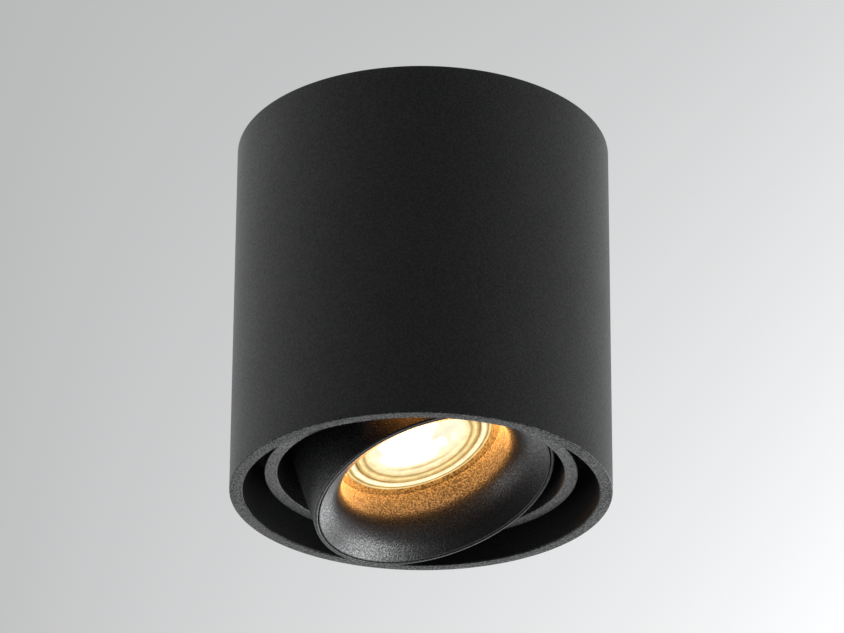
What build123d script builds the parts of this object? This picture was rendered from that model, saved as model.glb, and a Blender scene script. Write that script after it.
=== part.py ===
from build123d import *
from math import cos, radians, sin, sqrt, tan
import os

# A surface mounted ceiling spotlight: a plain cylindrical housing hangs from a ceiling plate,
# a ring swivels in its mouth, and a short lamp head tilts in the ring on two pivot screws.
# Millimetres. The ceiling is the plane z = 0 and the light hangs below it, +Z up. The head's
# own pieces are drawn upright about the tilt axis and then leant over as they rest.

# fits shared by many pieces
cut_past = 1.0
joined_overlap = 0.2
face_gap = 0.1
running_gap = 0.15
screw_clearance = 0.1
thread_gap = 0.05
press_gap = 0.02

# housing
housing_diameter = 100.0
housing_height = 100.0
housing_wall = 3.5
rim_chamfer = 0.5

# carrier ring, pressed into the housing
carrier_width = 4.9
carrier_thickness = 3.5

# ceiling plate with its two lugs and set screws
plate_thickness = 1.5
plate_clearance = 0.4
slot_spacing = 60.0
slot_width = 5.0
slot_length = 10.0
cable_hole_radius = 8.0
cable_hole_inset = 22.1
lug_width = 12.0
lug_height = 12.5
lug_thickness = 4.0
lug_angle = 29.0
grub_radius = 2.0
grub_length = 8.0
grub_drop = 8.0
grub_sink = 0.3
grub_hex_radius = 1.2
grub_hex_depth = 1.5

# cable grommet
grommet_bore_radius = 4.5
grommet_flange_width = 2.5
grommet_flange_thickness = 2.0
grommet_flange_edge = 0.6
grommet_boot_length = 5.0
grommet_boot_wall = 2.0
grommet_tip_wall = 0.8

# terminal block, one row of three ways
way_count = 3
way_spacing = 8.0
block_depth = 16.0
block_height = 12.0
block_near_side = 12.0
block_edge_radius = 1.0
block_screw_seat = 4.0
sleeve_radius = 2.0
sleeve_bore_radius = 1.3
sleeve_inset = 1.0
clamp_screw_radius = 1.25
clamp_screw_inset = 4.0
clamp_screw_sink = 1.2
clamp_hole_clearance = 0.5
clamp_bite = 0.2
clamp_drive = 0.6

# earth connection
earth_screw_x = -18.0
earth_screw_y = 4.0
eyelet_radius = 3.6
eyelet_thickness = 0.8
barrel_length = 5.0
barrel_wall = 0.6

# wires
wire_radius = 0.9
wire_half_spacing = 1.6
wire_insertion = 5.0
wire_meeting_depth = 13.0
wire_rise_run = 10.5
wire_slope = 0.125
wire_room = 22.54
wire_hole_depth = 3.0
wire_end_gap = 0.5

# swivel ring
ring_side_gap = 0.6
ring_wall = 3.5
ring_half_height = 6.9
ring_recess = 5.3
ring_edge_radius = 0.4
relief_wall = 1.6
relief_height = 3.9
flange_thickness = 2.0
flange_clearance = 0.4
glide_thickness = 0.8

# retaining ring and swivel stop
retainer_thickness = 1.2
retainer_overlap = 3.5
groove_depth = 1.2
retainer_gap_width = 8.0
ear_radius = 2.0
ear_hole_radius = 0.8
ear_inset = 1.3
ear_angle = 9.0
stop_pin_radius = 1.5
stop_pin_seat = 2.0
stop_pin_gap = 0.5
stop_reach = 0.8
nib_width = 3.0
nib_depth = 1.8
nib_height = 5.0

# head can, as wide as lets it lean to the tilt limit inside the ring
tilt_at_rest = 19.5
tilt_limit = 20.0
tilt_clearance = 0.19
rim_drop = 12.74
can_wall = 1.0
can_length = 34.0
can_back_thickness = 1.5
can_back_gap = 0.3
can_edge_radius = 0.3
boss_radius = 4.0
boss_length = 3.5

# tilt pivot
pivot_thread_radius = 2.0
pivot_end_inset = 0.4
shoulder_radius = 2.5
pivot_head_radius = 3.6
pivot_head_height = 2.2
pivot_head_edge = 0.6
pivot_hex_radius = 1.5
pivot_hex_depth = 1.4
bush_wall = 1.0
bush_flange_radius = 5.0
bush_flange_thickness = 0.9
spacer_radius = 4.5
friction_washer_radius = 4.8
friction_washer_thickness = 0.8

# glare baffle
baffle_clearance = 0.3
throat_overlap = 2.6
baffle_wall = 1.0
flare_radius = 12.0
flare_angle = 60.0
lip_recess = 0.3
lip_land = 0.4
throat_depth = 19.6
skirt_wall = 0.8
skirt_height = 6.0
spring_count = 3
spring_width = 5.0
spring_sheet = 0.4
spring_height = 8.5
spring_foot = 1.5
spring_knee = 1.0
spring_tip = 2.0
spring_bow_gap = 0.39

# lamp, its front behind the head's rim
lamp_side_gap = 6.7
lamp_front_depth = 15.9
lens_side_gap = 1.5
lens_step = 4.3
lens_thickness = 2.0
lens_wall = 1.3
lens_flange_thickness = 1.6
lens_edge = 0.4
reflector_rim = 2.1
reflector_wall = 1.2
bowl_curve = 45.0
neck_radius = 12.0
base_height = 15.6
base_radius = 11.6
base_collar_gap = 1.3
base_collar_height = 3.0
base_collar_inset = 1.5
base_collar_wall = 1.2
base_shoulder_start = 2.0
base_shoulder_end = 5.0
pin_spacing = 10.0
pin_neck_radius = 1.55
pin_neck_length = 4.3
pin_head_radius = 2.4
pin_head_length = 3.2
pin_edge = 0.4
capsule_radius = 5.0
capsule_wall = 0.8
capsule_side_gap = 1.5
capsule_tip_gap = 5.0
capsule_foot = 5.0
filament_radius = 1.0
filament_length = 4.8
filament_leg_spacing = 3.2
filament_leg_radius = 0.25
filament_share = 0.31

# lampholder and its bracket
holder_gap = 0.3
holder_radius = 14.0
holder_height = 12.5
holder_edge_radius = 1.0
nose_radius = 8.6
nose_below_plate = 0.6
slot_lip = 1.8
pin_cavity_depth = 9.0
lock_turn = 30.0
pin_clearance = 0.35
contact_thickness = 0.8
holder_screw_circle = 11.0
holder_screw_sink = 0.4
bracket_sheet = 1.2
bracket_width = 12.0
bracket_disc_radius = 15.0
leg_side_gap = 0.6
foot_inset = 0.7

# small screws
m3_radius = 1.5
m3_head_radius = 2.5
m3_head_height = 1.8
m3_end = 0.8
drive_width = 0.8
drive_depth = 0.9

# places that follow from the sizes above
housing_radius = housing_diameter / 2
bore_radius = housing_radius - housing_wall
plate_radius = bore_radius - plate_clearance
cable_hole_y = cable_hole_inset - plate_radius
carrier_inner_radius = bore_radius - carrier_width
ring_outer_radius = carrier_inner_radius - ring_side_gap
ring_inner_radius = ring_outer_radius - ring_wall
relief_inner_radius = ring_outer_radius - relief_wall
retainer_inner_radius = bore_radius - retainer_overlap
stop_inner_radius = ring_outer_radius - stop_reach
can_outer_radius = ((ring_inner_radius - tilt_clearance) * cos(radians(tilt_limit))
                    - ring_half_height * sin(radians(tilt_limit)))
can_inner_radius = can_outer_radius - can_wall
lamp_radius = can_inner_radius - lamp_side_gap
throat_radius = lamp_radius - throat_overlap
lens_boss_radius = throat_radius - lens_side_gap
can_back_hole_radius = lamp_radius + can_back_gap
bracket_leg_face = lamp_radius + leg_side_gap
bracket_foot_end = can_outer_radius - foot_inset
rim_height = -housing_height
ring_bottom = rim_height + ring_recess
pivot_height = ring_bottom + ring_half_height
ring_step = pivot_height + ring_half_height
ring_top = ring_step + relief_height
flange_bottom = ring_top - flange_thickness
carrier_top = flange_bottom - glide_thickness - 2 * running_gap
carrier_bottom = carrier_top - carrier_thickness
retainer_bottom = ring_top + running_gap
retainer_top = retainer_bottom + retainer_thickness
stop_height = retainer_top + running_gap + stop_pin_radius + stop_pin_gap
can_top = can_length - rim_drop
holder_top = -pivot_height - wire_room
bracket_top = holder_top - holder_height
bracket_bottom = bracket_top - bracket_sheet
nose_bottom = bracket_bottom - nose_below_plate
lamp_back = nose_bottom - holder_gap
lamp_front = lamp_front_depth - rim_drop
reflector_front = lamp_front + lens_step + lens_flange_thickness
reflector_back = lamp_back - base_height
capsule_tip = reflector_front + capsule_tip_gap
block_top = -plate_thickness
block_bottom = block_top - block_height
wire_entry = block_top - block_height / 2
head_place = Pos(0, 0, pivot_height) * Rot(0, -tilt_at_rest, 0)

UP = (Align.CENTER, Align.CENTER, Align.MIN)


def rod(radius, bottom, top):
    """A round bar along Z between two heights."""
    return Pos(0, 0, bottom) * Cylinder(radius, top - bottom, align=UP)


def tube(outer, inner, bottom, top):
    """A round tube along Z, its bore cut a little past both ends."""
    return rod(outer, bottom, top) - rod(inner, bottom - cut_past, top + cut_past)


def turned(points):
    """A solid turned about Z from an outline of (radius, height) points and arcs."""
    pieces = []
    for first, second in zip(points, points[1:] + points[:1]):
        start, end = first[:2], second[:2]
        if len(first) == 3:
            pieces.append(arc_between(start, end, first[2]))
        else:
            pieces.append(Line((start[0], 0, start[1]), (end[0], 0, end[1])))
    return revolve(make_face(Wire(pieces)), axis=Axis.Z)


def arc_between(start, end, radius):
    """An arc in the XZ plane between two (radius, height) points."""
    chord = Vector(end[0] - start[0], 0, end[1] - start[1])
    side = Vector(-chord.Z, 0, chord.X).normalized() * (1 if radius > 0 else -1)
    rise = abs(radius) - sqrt(radius**2 - (chord.length / 2) ** 2)
    middle = Vector(start[0], 0, start[1]) + chord * 0.5 + side * rise
    return ThreePointArc((start[0], 0, start[1]), middle, (end[0], 0, end[1]))


def along(direction_degrees, shape):
    """A shape drawn along +Z laid down to point outwards in a level direction."""
    return Rot(0, 0, direction_degrees) * Rot(0, 90, 0) * shape


def pan_screw(head_radius, head_height, shank_radius, length):
    """A slotted screw, its head seat at the origin, the head above and the shank below."""
    head = rod(head_radius, 0, head_height)
    head = fillet(head.faces().sort_by(Axis.Z)[-1].edges(), head_height * 0.35)
    slot = Box(3 * head_radius, drive_width, 2 * drive_depth)
    head -= Pos(0, 0, head_height) * slot
    return head + rod(shank_radius, -length, 0)


def wire_along(points, corner_radii):
    """A round insulated wire through the given points."""
    path = FilletPolyline(*points, radius=corner_radii)
    heading = path % 0
    section = Plane(origin=path @ 0, z_dir=heading) * Circle(wire_radius)
    return sweep(section, path=path)


def corner_radius(points):
    """The widest bend that the middle of three points has room for."""
    before, corner, after = (Vector(*p) for p in points)
    arrive, leave = corner - before, after - corner
    shorter = min(arrive.length, leave.length)
    return 0.45 * shorter / tan(radians(arrive.get_angle(leave)) / 2)


# housing and what is fixed to it


def housing():
    """The outer tube, with the groove for the retaining ring."""
    body = tube(housing_radius, bore_radius, rim_height, 0)
    body -= tube(bore_radius + groove_depth + face_gap, bore_radius - cut_past,
                 retainer_bottom - face_gap, retainer_top + face_gap)
    inside_rim = [e for e in body.edges().filter_by(GeomType.CIRCLE)
                  if abs(e.center().Z - rim_height) < 0.01 and abs(e.radius - bore_radius) < 0.01]
    body = chamfer(inside_rim, rim_chamfer)
    for direction in (lug_angle, lug_angle + 180):
        hole = rod(grub_radius + screw_clearance, bore_radius - cut_past, housing_radius + cut_past)
        body -= Pos(0, 0, -grub_drop) * along(direction, hole)
    seat = rod(stop_pin_radius, stop_inner_radius, bore_radius + stop_pin_seat)
    body -= Pos(0, 0, stop_height) * along(-90, seat)
    return body


def carrier_ring():
    """The ring pressed into the housing that carries the swivel ring's flange."""
    return tube(bore_radius - press_gap, carrier_inner_radius, carrier_bottom, carrier_top)


def stop_pin():
    """The pressed-in pin that the ring's nib meets after most of a turn."""
    pin = rod(stop_pin_radius, stop_inner_radius, bore_radius + stop_pin_seat)
    return Pos(0, 0, stop_height) * along(-90, pin)


def ceiling_plate():
    """The flat steel plate screwed to the ceiling."""
    below, above = -plate_thickness - cut_past, cut_past
    plate = rod(plate_radius, -plate_thickness, 0)
    slot = extrude(SlotOverall(slot_length, slot_width), 2 * plate_thickness, both=True)
    for side in (-1, 1):
        plate -= Pos(side * slot_spacing / 2, 0, 0) * slot
    plate -= Pos(0, cable_hole_y, 0) * rod(cable_hole_radius, below, above)
    for x, y in ((earth_screw_x, earth_screw_y), block_screw_place()):
        plate -= Pos(x, y, 0) * rod(m3_radius + thread_gap, below, above)
    return plate


def lug_outside():
    """How far out the lugs' outer faces stand, level with the plate's edge at their corners."""
    return sqrt(plate_radius**2 - (lug_width / 2) ** 2)


def mounting_lugs():
    """Two tapped steel blocks welded under the plate."""
    middle = lug_outside() - lug_thickness / 2
    lug = Pos(middle, 0, -plate_thickness - lug_height / 2) * Box(lug_thickness, lug_width, lug_height)
    tapped = rod(grub_radius + thread_gap, middle - lug_thickness, middle + lug_thickness)
    lug -= Pos(0, 0, -grub_drop) * Rot(0, 90, 0) * tapped
    return Compound(children=[Rot(0, 0, direction) * lug
                              for direction in (lug_angle, lug_angle + 180)])


def grub_screws():
    """Two socket set screws through the housing into the plate's lugs."""
    outer = housing_radius - grub_sink
    screw = rod(grub_radius, outer - grub_length, outer)
    screw -= Pos(0, 0, outer - grub_hex_depth) * extrude(
        RegularPolygon(grub_hex_radius, 6), grub_hex_depth + cut_past)
    screws = [Pos(0, 0, -grub_drop) * along(direction, screw)
              for direction in (lug_angle, lug_angle + 180)]
    return Compound(children=screws)


def cable_grommet():
    """The rubber bush in the plate's cable hole."""
    plug = rod(cable_hole_radius - thread_gap, -plate_thickness, 0)
    flange_bottom_height = -plate_thickness - grommet_flange_thickness
    flange = rod(cable_hole_radius + grommet_flange_width, flange_bottom_height, -plate_thickness)
    flange = fillet(flange.faces().sort_by(Axis.Z)[0].edges(), grommet_flange_edge)
    boot_end = flange_bottom_height - grommet_boot_length
    boot = Pos(0, 0, boot_end) * Cone(
        grommet_bore_radius + grommet_tip_wall, grommet_bore_radius + grommet_boot_wall,
        grommet_boot_length, align=UP)
    solid = plug + flange + boot - rod(grommet_bore_radius, boot_end - cut_past, cut_past)
    return Pos(0, cable_hole_y, 0) * solid


def way_places():
    """The X position of each terminal way."""
    return [way_spacing * n for n in range(way_count)]


def block_screw_place():
    """The plan position of the screw that holds the terminal block."""
    return (way_places()[0] + way_spacing / 2, block_near_side + block_depth / 2)


def clamp_screw_rows():
    """The Y positions of the two clamp screws of each way."""
    far_side = block_near_side + block_depth
    return (block_near_side + clamp_screw_inset, far_side - clamp_screw_inset)


def terminal_block():
    """The moulded block, bored for sleeves and screws."""
    ways = way_places()
    middle_x = (ways[0] + ways[-1]) / 2
    length = way_spacing * way_count
    middle_y = block_near_side + block_depth / 2
    block = Pos(middle_x, middle_y, (block_top + block_bottom) / 2) * Box(
        length, block_depth, block_height)
    block = fillet(block.edges().filter_by(Axis.Z), block_edge_radius)
    below = block_bottom - cut_past
    for x in ways:
        block -= Pos(x, block_near_side, wire_entry) * Rot(-90, 0, 0) * rod(
            sleeve_radius + thread_gap, -cut_past, block_depth + cut_past)
        for y in clamp_screw_rows():
            block -= Pos(x, y, 0) * rod(clamp_screw_radius + clamp_hole_clearance, below, wire_entry)
    screw_x, screw_y = block_screw_place()
    block -= Pos(screw_x, screw_y, 0) * rod(m3_radius + screw_clearance, below, block_top + cut_past)
    block -= Pos(screw_x, screw_y, 0) * rod(
        m3_head_radius + screw_clearance, below, block_bottom + block_screw_seat)
    return block


def terminal_sleeves():
    """Three brass tubes with tapped holes for the clamp screws."""
    sleeves = []
    for x in way_places():
        sleeve = Rot(-90, 0, 0) * tube(
            sleeve_radius, sleeve_bore_radius, sleeve_inset, block_depth - sleeve_inset)
        sleeve = Pos(x, block_near_side, wire_entry) * sleeve
        for y in clamp_screw_rows():
            sleeve -= Pos(x, y, 0) * rod(
                clamp_screw_radius + thread_gap, wire_entry - sleeve_radius - cut_past, wire_entry)
        sleeves.append(sleeve)
    return Compound(children=sleeves)


def terminal_screws():
    """Two clamp screws for each way, driven in from below."""
    top = wire_entry - sleeve_bore_radius + clamp_bite
    bottom = block_bottom + clamp_screw_sink
    screw = rod(clamp_screw_radius, bottom, top)
    screw -= Pos(0, 0, bottom) * Box(4 * clamp_screw_radius, clamp_drive, 2 * clamp_drive)
    screws = [Pos(x, y, 0) * screw for x in way_places() for y in clamp_screw_rows()]
    return Compound(children=screws)


def block_screw():
    """The screw that holds the terminal block to the plate."""
    seat = block_bottom + block_screw_seat
    screw = pan_screw(m3_head_radius, m3_head_height, m3_radius, -seat)
    return Pos(*block_screw_place(), seat) * Rot(180, 0, 0) * screw


def earth_screw():
    """The earth screw, its head holding the eyelet to the plate."""
    seat = -plate_thickness - eyelet_thickness
    screw = pan_screw(m3_head_radius, m3_head_height, m3_radius, -seat)
    return Pos(earth_screw_x, earth_screw_y, seat) * Rot(180, 0, 0) * screw


def barrel_start():
    """How far from the earth screw's axis the eyelet's barrel starts."""
    return eyelet_radius - barrel_wall


def barrel_height():
    """The height of the barrel's axis under the plate."""
    return -plate_thickness - wire_radius - barrel_wall - face_gap


def earth_eyelet():
    """The crimped ring terminal on the earth wire."""
    seat = -plate_thickness
    ring = rod(eyelet_radius, seat - eyelet_thickness, seat)
    lying = Rot(0, 90, 0) * tube(wire_radius + barrel_wall, wire_radius + thread_gap, 0, barrel_length)
    eyelet = ring + Pos(barrel_start(), 0, barrel_height()) * lying
    eyelet -= rod(m3_radius + screw_clearance, seat - 3 * eyelet_thickness, cut_past)
    eyelet -= rod(m3_head_radius + 2 * face_gap, seat - block_height, seat - eyelet_thickness)
    return Pos(earth_screw_x, earth_screw_y, 0) * eyelet


def earth_wire():
    """The short earth wire from the first way to the eyelet's barrel."""
    x, y = way_places()[0], earth_screw_y
    mouth = earth_screw_x + barrel_start() + barrel_length
    points = [
        (x, block_near_side + wire_insertion, wire_entry),
        (x, y, wire_entry),
        (mouth + barrel_length / 2, y, barrel_height()),
        (mouth - barrel_length / 2, y, barrel_height()),
    ]
    return wire_along(points, [corner_radius(points[0:3]), corner_radius(points[1:4])])


def glide_washer():
    """The nylon ring that the swivel ring's flange turns on."""
    return tube(bore_radius - flange_clearance, carrier_inner_radius + 2 * face_gap, carrier_top,
                carrier_top + glide_thickness)


def retaining_ring():
    """The spring ring sprung into the housing's groove above the flange, with two eared ends."""
    ring = tube(bore_radius + groove_depth, retainer_inner_radius, retainer_bottom, retainer_top)
    ring -= Pos(-bore_radius, 0, retainer_bottom) * Box(
        4 * retainer_overlap, retainer_gap_width, 4 * retainer_thickness)
    for angle in (180 - ear_angle, 180 + ear_angle):
        place = Rot(0, 0, angle) * Pos(retainer_inner_radius + ear_inset, 0, 0)
        ring += place * rod(ear_radius, retainer_bottom, retainer_top)
        ring -= place * rod(ear_hole_radius, retainer_bottom - cut_past, retainer_top + cut_past)
    return ring


# swivel ring


def swivel_ring():
    """The ring that turns in the housing and carries the tilt pivots."""
    ring = tube(ring_outer_radius, ring_inner_radius, ring_bottom, ring_top)
    ring -= rod(relief_inner_radius, ring_step, ring_top + cut_past)
    ring += tube(bore_radius - flange_clearance, relief_inner_radius + joined_overlap,
                 flange_bottom, ring_top)
    ring = fillet(ring.faces().sort_by(Axis.Z)[0].edges(), ring_edge_radius)
    for side in (90, -90):
        hole = rod(shoulder_radius + bush_wall + face_gap, ring_inner_radius - cut_past,
                   ring_outer_radius + cut_past)
        ring -= Pos(0, 0, pivot_height) * along(side, hole)
    nib = Pos(0, stop_inner_radius + nib_depth / 2, ring_top + (nib_height - joined_overlap) / 2) * Box(
        nib_width, nib_depth, nib_height + joined_overlap)
    return ring + nib


def pivot_bushes():
    """Flanged nylon bushes in the ring's two pivot holes."""
    start = bush_inner_face()
    flange_end = start + bush_flange_thickness
    sleeve_end = sqrt(ring_outer_radius**2 - (shoulder_radius + bush_wall) ** 2) - face_gap
    bush = rod(bush_flange_radius, start, flange_end)
    bush += rod(shoulder_radius + bush_wall, flange_end - joined_overlap, sleeve_end)
    bush -= rod(shoulder_radius + thread_gap, start - cut_past, sleeve_end + cut_past)
    return Compound(children=[Pos(0, 0, pivot_height) * along(side, bush) for side in (90, -90)])


# head, drawn about the tilt axis


def head_can():
    """The short open can that shows at the mouth of the light."""
    can = tube(can_outer_radius, can_inner_radius, -rim_drop, can_top)
    can = fillet(can.faces().sort_by(Axis.Z)[0].edges(), can_edge_radius)
    boss_end = can_inner_radius - boss_length
    for side in (90, -90):
        can += along(side, rod(boss_radius, boss_end, can_inner_radius + joined_overlap))
        can -= along(side, rod(pivot_thread_radius + thread_gap, boss_end - cut_past,
                               can_outer_radius + cut_past))
    return can


def can_back():
    """The ring pressed into the back of the can, tapped for the bracket's screws."""
    bottom = can_top - can_back_thickness
    back = tube(can_inner_radius - press_gap, can_back_hole_radius, bottom, can_top)
    for side in (-1, 1):
        back -= Pos(0, side * foot_screw_offset(), 0) * rod(
            m3_radius + thread_gap, bottom - cut_past, can_top + cut_past)
    return back


def foot_screw_offset():
    """How far from the head's axis the bracket's foot screws stand."""
    return (bracket_leg_face + bracket_sheet + bracket_foot_end) / 2


def pivot_screws():
    """Two shoulder screws from outside the ring into the can's bosses."""
    shoulder_start = can_outer_radius + face_gap
    head_start = ring_outer_radius + 2 * face_gap
    head_end = head_start + pivot_head_height
    screw = rod(pivot_thread_radius, can_inner_radius - boss_length + pivot_end_inset, shoulder_start)
    screw += rod(shoulder_radius, shoulder_start, head_start)
    head = rod(pivot_head_radius, head_start, head_end)
    head = fillet(head.faces().sort_by(Axis.Z)[-1].edges(), pivot_head_edge)
    head -= Pos(0, 0, head_end - pivot_hex_depth) * extrude(
        RegularPolygon(pivot_hex_radius, 6), pivot_hex_depth + cut_past)
    screw += head
    return Compound(children=[along(side, screw) for side in (90, -90)])


def bush_inner_face():
    """How far from the axis the bush flanges face the head."""
    flange_end = sqrt(ring_inner_radius**2 - bush_flange_radius**2) - face_gap
    return flange_end - bush_flange_thickness


def pivot_spacers():
    """Steel collars that centre the can between the bushes."""
    start = can_outer_radius + face_gap
    end = bush_inner_face() - friction_washer_thickness - 2 * face_gap
    collar = tube(spacer_radius, shoulder_radius + screw_clearance, start, end)
    return Compound(children=[along(side, collar) for side in (90, -90)])


def friction_washers():
    """Spring washers that hold the head at the tilt it is given."""
    end = bush_inner_face() - face_gap
    washer = tube(friction_washer_radius, shoulder_radius + screw_clearance,
                  end - friction_washer_thickness, end)
    return Compound(children=[along(side, washer) for side in (90, -90)])


def lampholder_bracket():
    """The bent strap that carries the lampholder over the can."""
    plate = rod(bracket_disc_radius, bracket_bottom, bracket_top)
    span = 2 * (bracket_leg_face + bracket_sheet)
    middle = (bracket_bottom + bracket_top) / 2
    plate += Pos(0, 0, middle) * Box(bracket_width, span, bracket_sheet)
    leg_height = bracket_top - can_top
    foot_length = bracket_foot_end - bracket_leg_face
    for side in (-1, 1):
        leg_y = side * (bracket_leg_face + bracket_sheet / 2)
        plate += Pos(0, leg_y, can_top + leg_height / 2) * Box(bracket_width, bracket_sheet, leg_height)
        foot_y = side * (bracket_leg_face + foot_length / 2)
        plate += Pos(0, foot_y, can_top + bracket_sheet / 2) * Box(
            bracket_width, foot_length, bracket_sheet)
        plate -= Pos(0, side * foot_screw_offset(), 0) * rod(
            m3_radius + screw_clearance, can_top - cut_past, can_top + bracket_sheet + cut_past)
        plate -= Pos(0, side * holder_screw_circle, 0) * rod(
            m3_radius + thread_gap, bracket_bottom - cut_past, bracket_top + cut_past)
    return plate - rod(nose_radius + holder_gap, bracket_bottom - cut_past, bracket_top + cut_past)


def bracket_screws():
    """Two screws through the bracket's feet into the can's back."""
    seat = can_top + bracket_sheet
    length = bracket_sheet + can_back_thickness + m3_end
    screw = pan_screw(m3_head_radius, m3_head_height, m3_radius, length)
    return Compound(children=[Pos(0, side * foot_screw_offset(), seat) * screw for side in (-1, 1)])


def kidney(radius, half_width, bottom, top):
    """A slot round the axis from the locked place of a pin to its entry."""
    start, end = radians(0), radians(lock_turn)
    outer, inner = radius + half_width, radius - half_width
    face = make_face(Wire([
        CenterArc((0, 0), outer, 0, lock_turn),
        CenterArc((radius * cos(end), radius * sin(end)), half_width, lock_turn, 180),
        CenterArc((0, 0), inner, 0, lock_turn),
        CenterArc((radius * cos(start), radius * sin(start)), half_width, 180, 180),
    ]))
    return Pos(0, 0, bottom) * extrude(face, top - bottom)


def lampholder():
    """The ceramic twist-lock holder standing on the bracket."""
    body = rod(holder_radius, bracket_top, holder_top)
    body = fillet(body.faces().sort_by(Axis.Z)[-1].edges(), holder_edge_radius)
    body += rod(nose_radius, nose_bottom, bracket_top + joined_overlap)
    below, above = bracket_top - cut_past, holder_top + cut_past
    for side in (-1, 1):
        body -= Pos(0, side * holder_screw_circle, 0) * rod(m3_radius + screw_clearance, below, above)
        body -= Pos(0, side * holder_screw_circle, 0) * rod(
            m3_head_radius + screw_clearance, holder_screw_seat(), above)
        body -= Pos(0, side * wire_half_spacing, 0) * rod(
            wire_radius + screw_clearance, holder_top - wire_hole_depth, above)
        body -= Rot(0, 0, 90 + side * 90) * pin_way()
    return body


def pin_way():
    """The space that one pin passes on its way in and round to its locked place."""
    pin_circle = pin_spacing / 2
    lip_top = nose_bottom + slot_lip
    neck, head = pin_neck_radius + pin_clearance, pin_head_radius + pin_clearance
    cut = kidney(pin_circle, neck, nose_bottom - cut_past, lip_top + joined_overlap)
    cut += kidney(pin_circle, head, lip_top, nose_bottom + pin_cavity_depth)
    entry = rod(head, nose_bottom - cut_past, lip_top + joined_overlap)
    return cut + Rot(0, 0, lock_turn) * Pos(pin_circle, 0, 0) * entry


def holder_screw_seat():
    """The height of the seat that the lampholder's screw heads rest on."""
    return holder_top - m3_head_height - holder_screw_sink


def lampholder_contacts():
    """Two brass contact plates at the top of the pin cavities."""
    top = nose_bottom + pin_cavity_depth
    plate = kidney(pin_spacing / 2, pin_head_radius, top - contact_thickness, top)
    return Compound(children=[plate, Rot(0, 0, 180) * plate])


def lampholder_screws():
    """Two sunk screws through the lampholder into the bracket."""
    seat = holder_screw_seat()
    screw = pan_screw(m3_head_radius, m3_head_height, m3_radius, seat - bracket_bottom)
    return Compound(children=[Pos(0, side * holder_screw_circle, seat) * screw for side in (-1, 1)])


# glare baffle, drawn about the tilt axis


def glare_baffle():
    """The flared insert in the can's mouth with its throat and skirt."""
    lip_outside = can_inner_radius - baffle_clearance
    lip_height = -rim_drop + lip_recess
    centre_radius = throat_radius + flare_radius
    back_radius = flare_radius - baffle_wall
    slope = radians(flare_angle)
    cone_start = centre_radius - flare_radius * cos(slope)
    cone_rise = (lip_outside - lip_land - cone_start) / tan(slope)
    centre_height = lip_height + cone_rise + flare_radius * sin(slope)
    back_cone_start = centre_radius - back_radius * cos(slope)
    skirt_inside = lip_outside - skirt_wall
    back_height = centre_height - back_radius * sin(slope)
    corner_height = back_height - (skirt_inside - back_cone_start) / tan(slope)
    throat_end = throat_depth - rim_drop
    return turned([
        (lip_outside - lip_land, lip_height),
        (lip_outside, lip_height),
        (lip_outside, -rim_drop + skirt_height),
        (skirt_inside, -rim_drop + skirt_height),
        (skirt_inside, corner_height),
        (back_cone_start, back_height, back_radius),
        (throat_radius + baffle_wall, centre_height),
        (throat_radius + baffle_wall, throat_end),
        (throat_radius, throat_end),
        (throat_radius, centre_height, -flare_radius),
        (cone_start, centre_height - flare_radius * sin(slope)),
    ])


def baffle_springs():
    """Leaf springs on the skirt that grip the can's wall."""
    inner = can_inner_radius - baffle_clearance - skirt_wall - face_gap
    outer = can_inner_radius - spring_bow_gap
    foot = -rim_drop + skirt_height - spring_foot
    knee = -rim_drop + skirt_height + spring_knee
    tip = foot + spring_height
    outline = Polyline(
        (inner - spring_sheet, 0, foot), (inner, 0, foot), (inner, 0, knee),
        (outer, 0, tip - spring_tip), (outer, 0, tip), (outer - spring_sheet, 0, tip),
        (outer - spring_sheet, 0, tip - spring_tip),
        (inner - spring_sheet, 0, knee + spring_sheet / 2), close=True)
    leaf = extrude(make_face(outline), spring_width / 2, both=True)
    step = 360 / spring_count
    return Compound(children=[Rot(0, 0, n * step) * leaf for n in range(spring_count)])


# lamp, drawn about the tilt axis


def lamp_lens():
    """The stepped front glass of the lamp."""
    step = lamp_front + lens_step
    inside = lens_boss_radius - lens_wall
    return turned([
        (0, lamp_front),
        (lens_boss_radius - lens_edge, lamp_front),
        (lens_boss_radius, lamp_front + lens_edge),
        (lens_boss_radius + lens_edge, step),
        (lamp_radius - lens_edge, step),
        (lamp_radius - lens_edge, reflector_front),
        (inside, reflector_front),
        (inside - lens_edge, lamp_front + lens_thickness),
        (0, lamp_front + lens_thickness),
    ])


def lamp_reflector():
    """The bowl behind the front glass, open at its neck."""
    bowl_start = reflector_front + reflector_rim
    hole = capsule_radius + capsule_side_gap
    inside_back = reflector_back - reflector_wall
    return turned([
        (lamp_radius - reflector_wall, reflector_front),
        (lamp_radius, reflector_front),
        (lamp_radius, bowl_start, -bowl_curve),
        (neck_radius, reflector_back),
        (hole, reflector_back),
        (hole, inside_back),
        (neck_radius - reflector_wall, inside_back, bowl_curve - reflector_wall),
        (lamp_radius - reflector_wall, bowl_start),
    ])


def lamp_base():
    """The ceramic base that joins the reflector's neck to the pins."""
    collar_start = reflector_back - base_collar_height + base_collar_inset
    collar_inside = neck_radius + base_collar_wall + base_collar_gap
    return turned([
        (0, reflector_back),
        (collar_inside, reflector_back),
        (collar_inside, collar_start),
        (collar_inside + base_collar_wall, collar_start),
        (collar_inside + base_collar_wall, reflector_back + base_shoulder_start),
        (base_radius, reflector_back + base_shoulder_end),
        (base_radius, lamp_back),
        (0, lamp_back),
    ])


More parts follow.
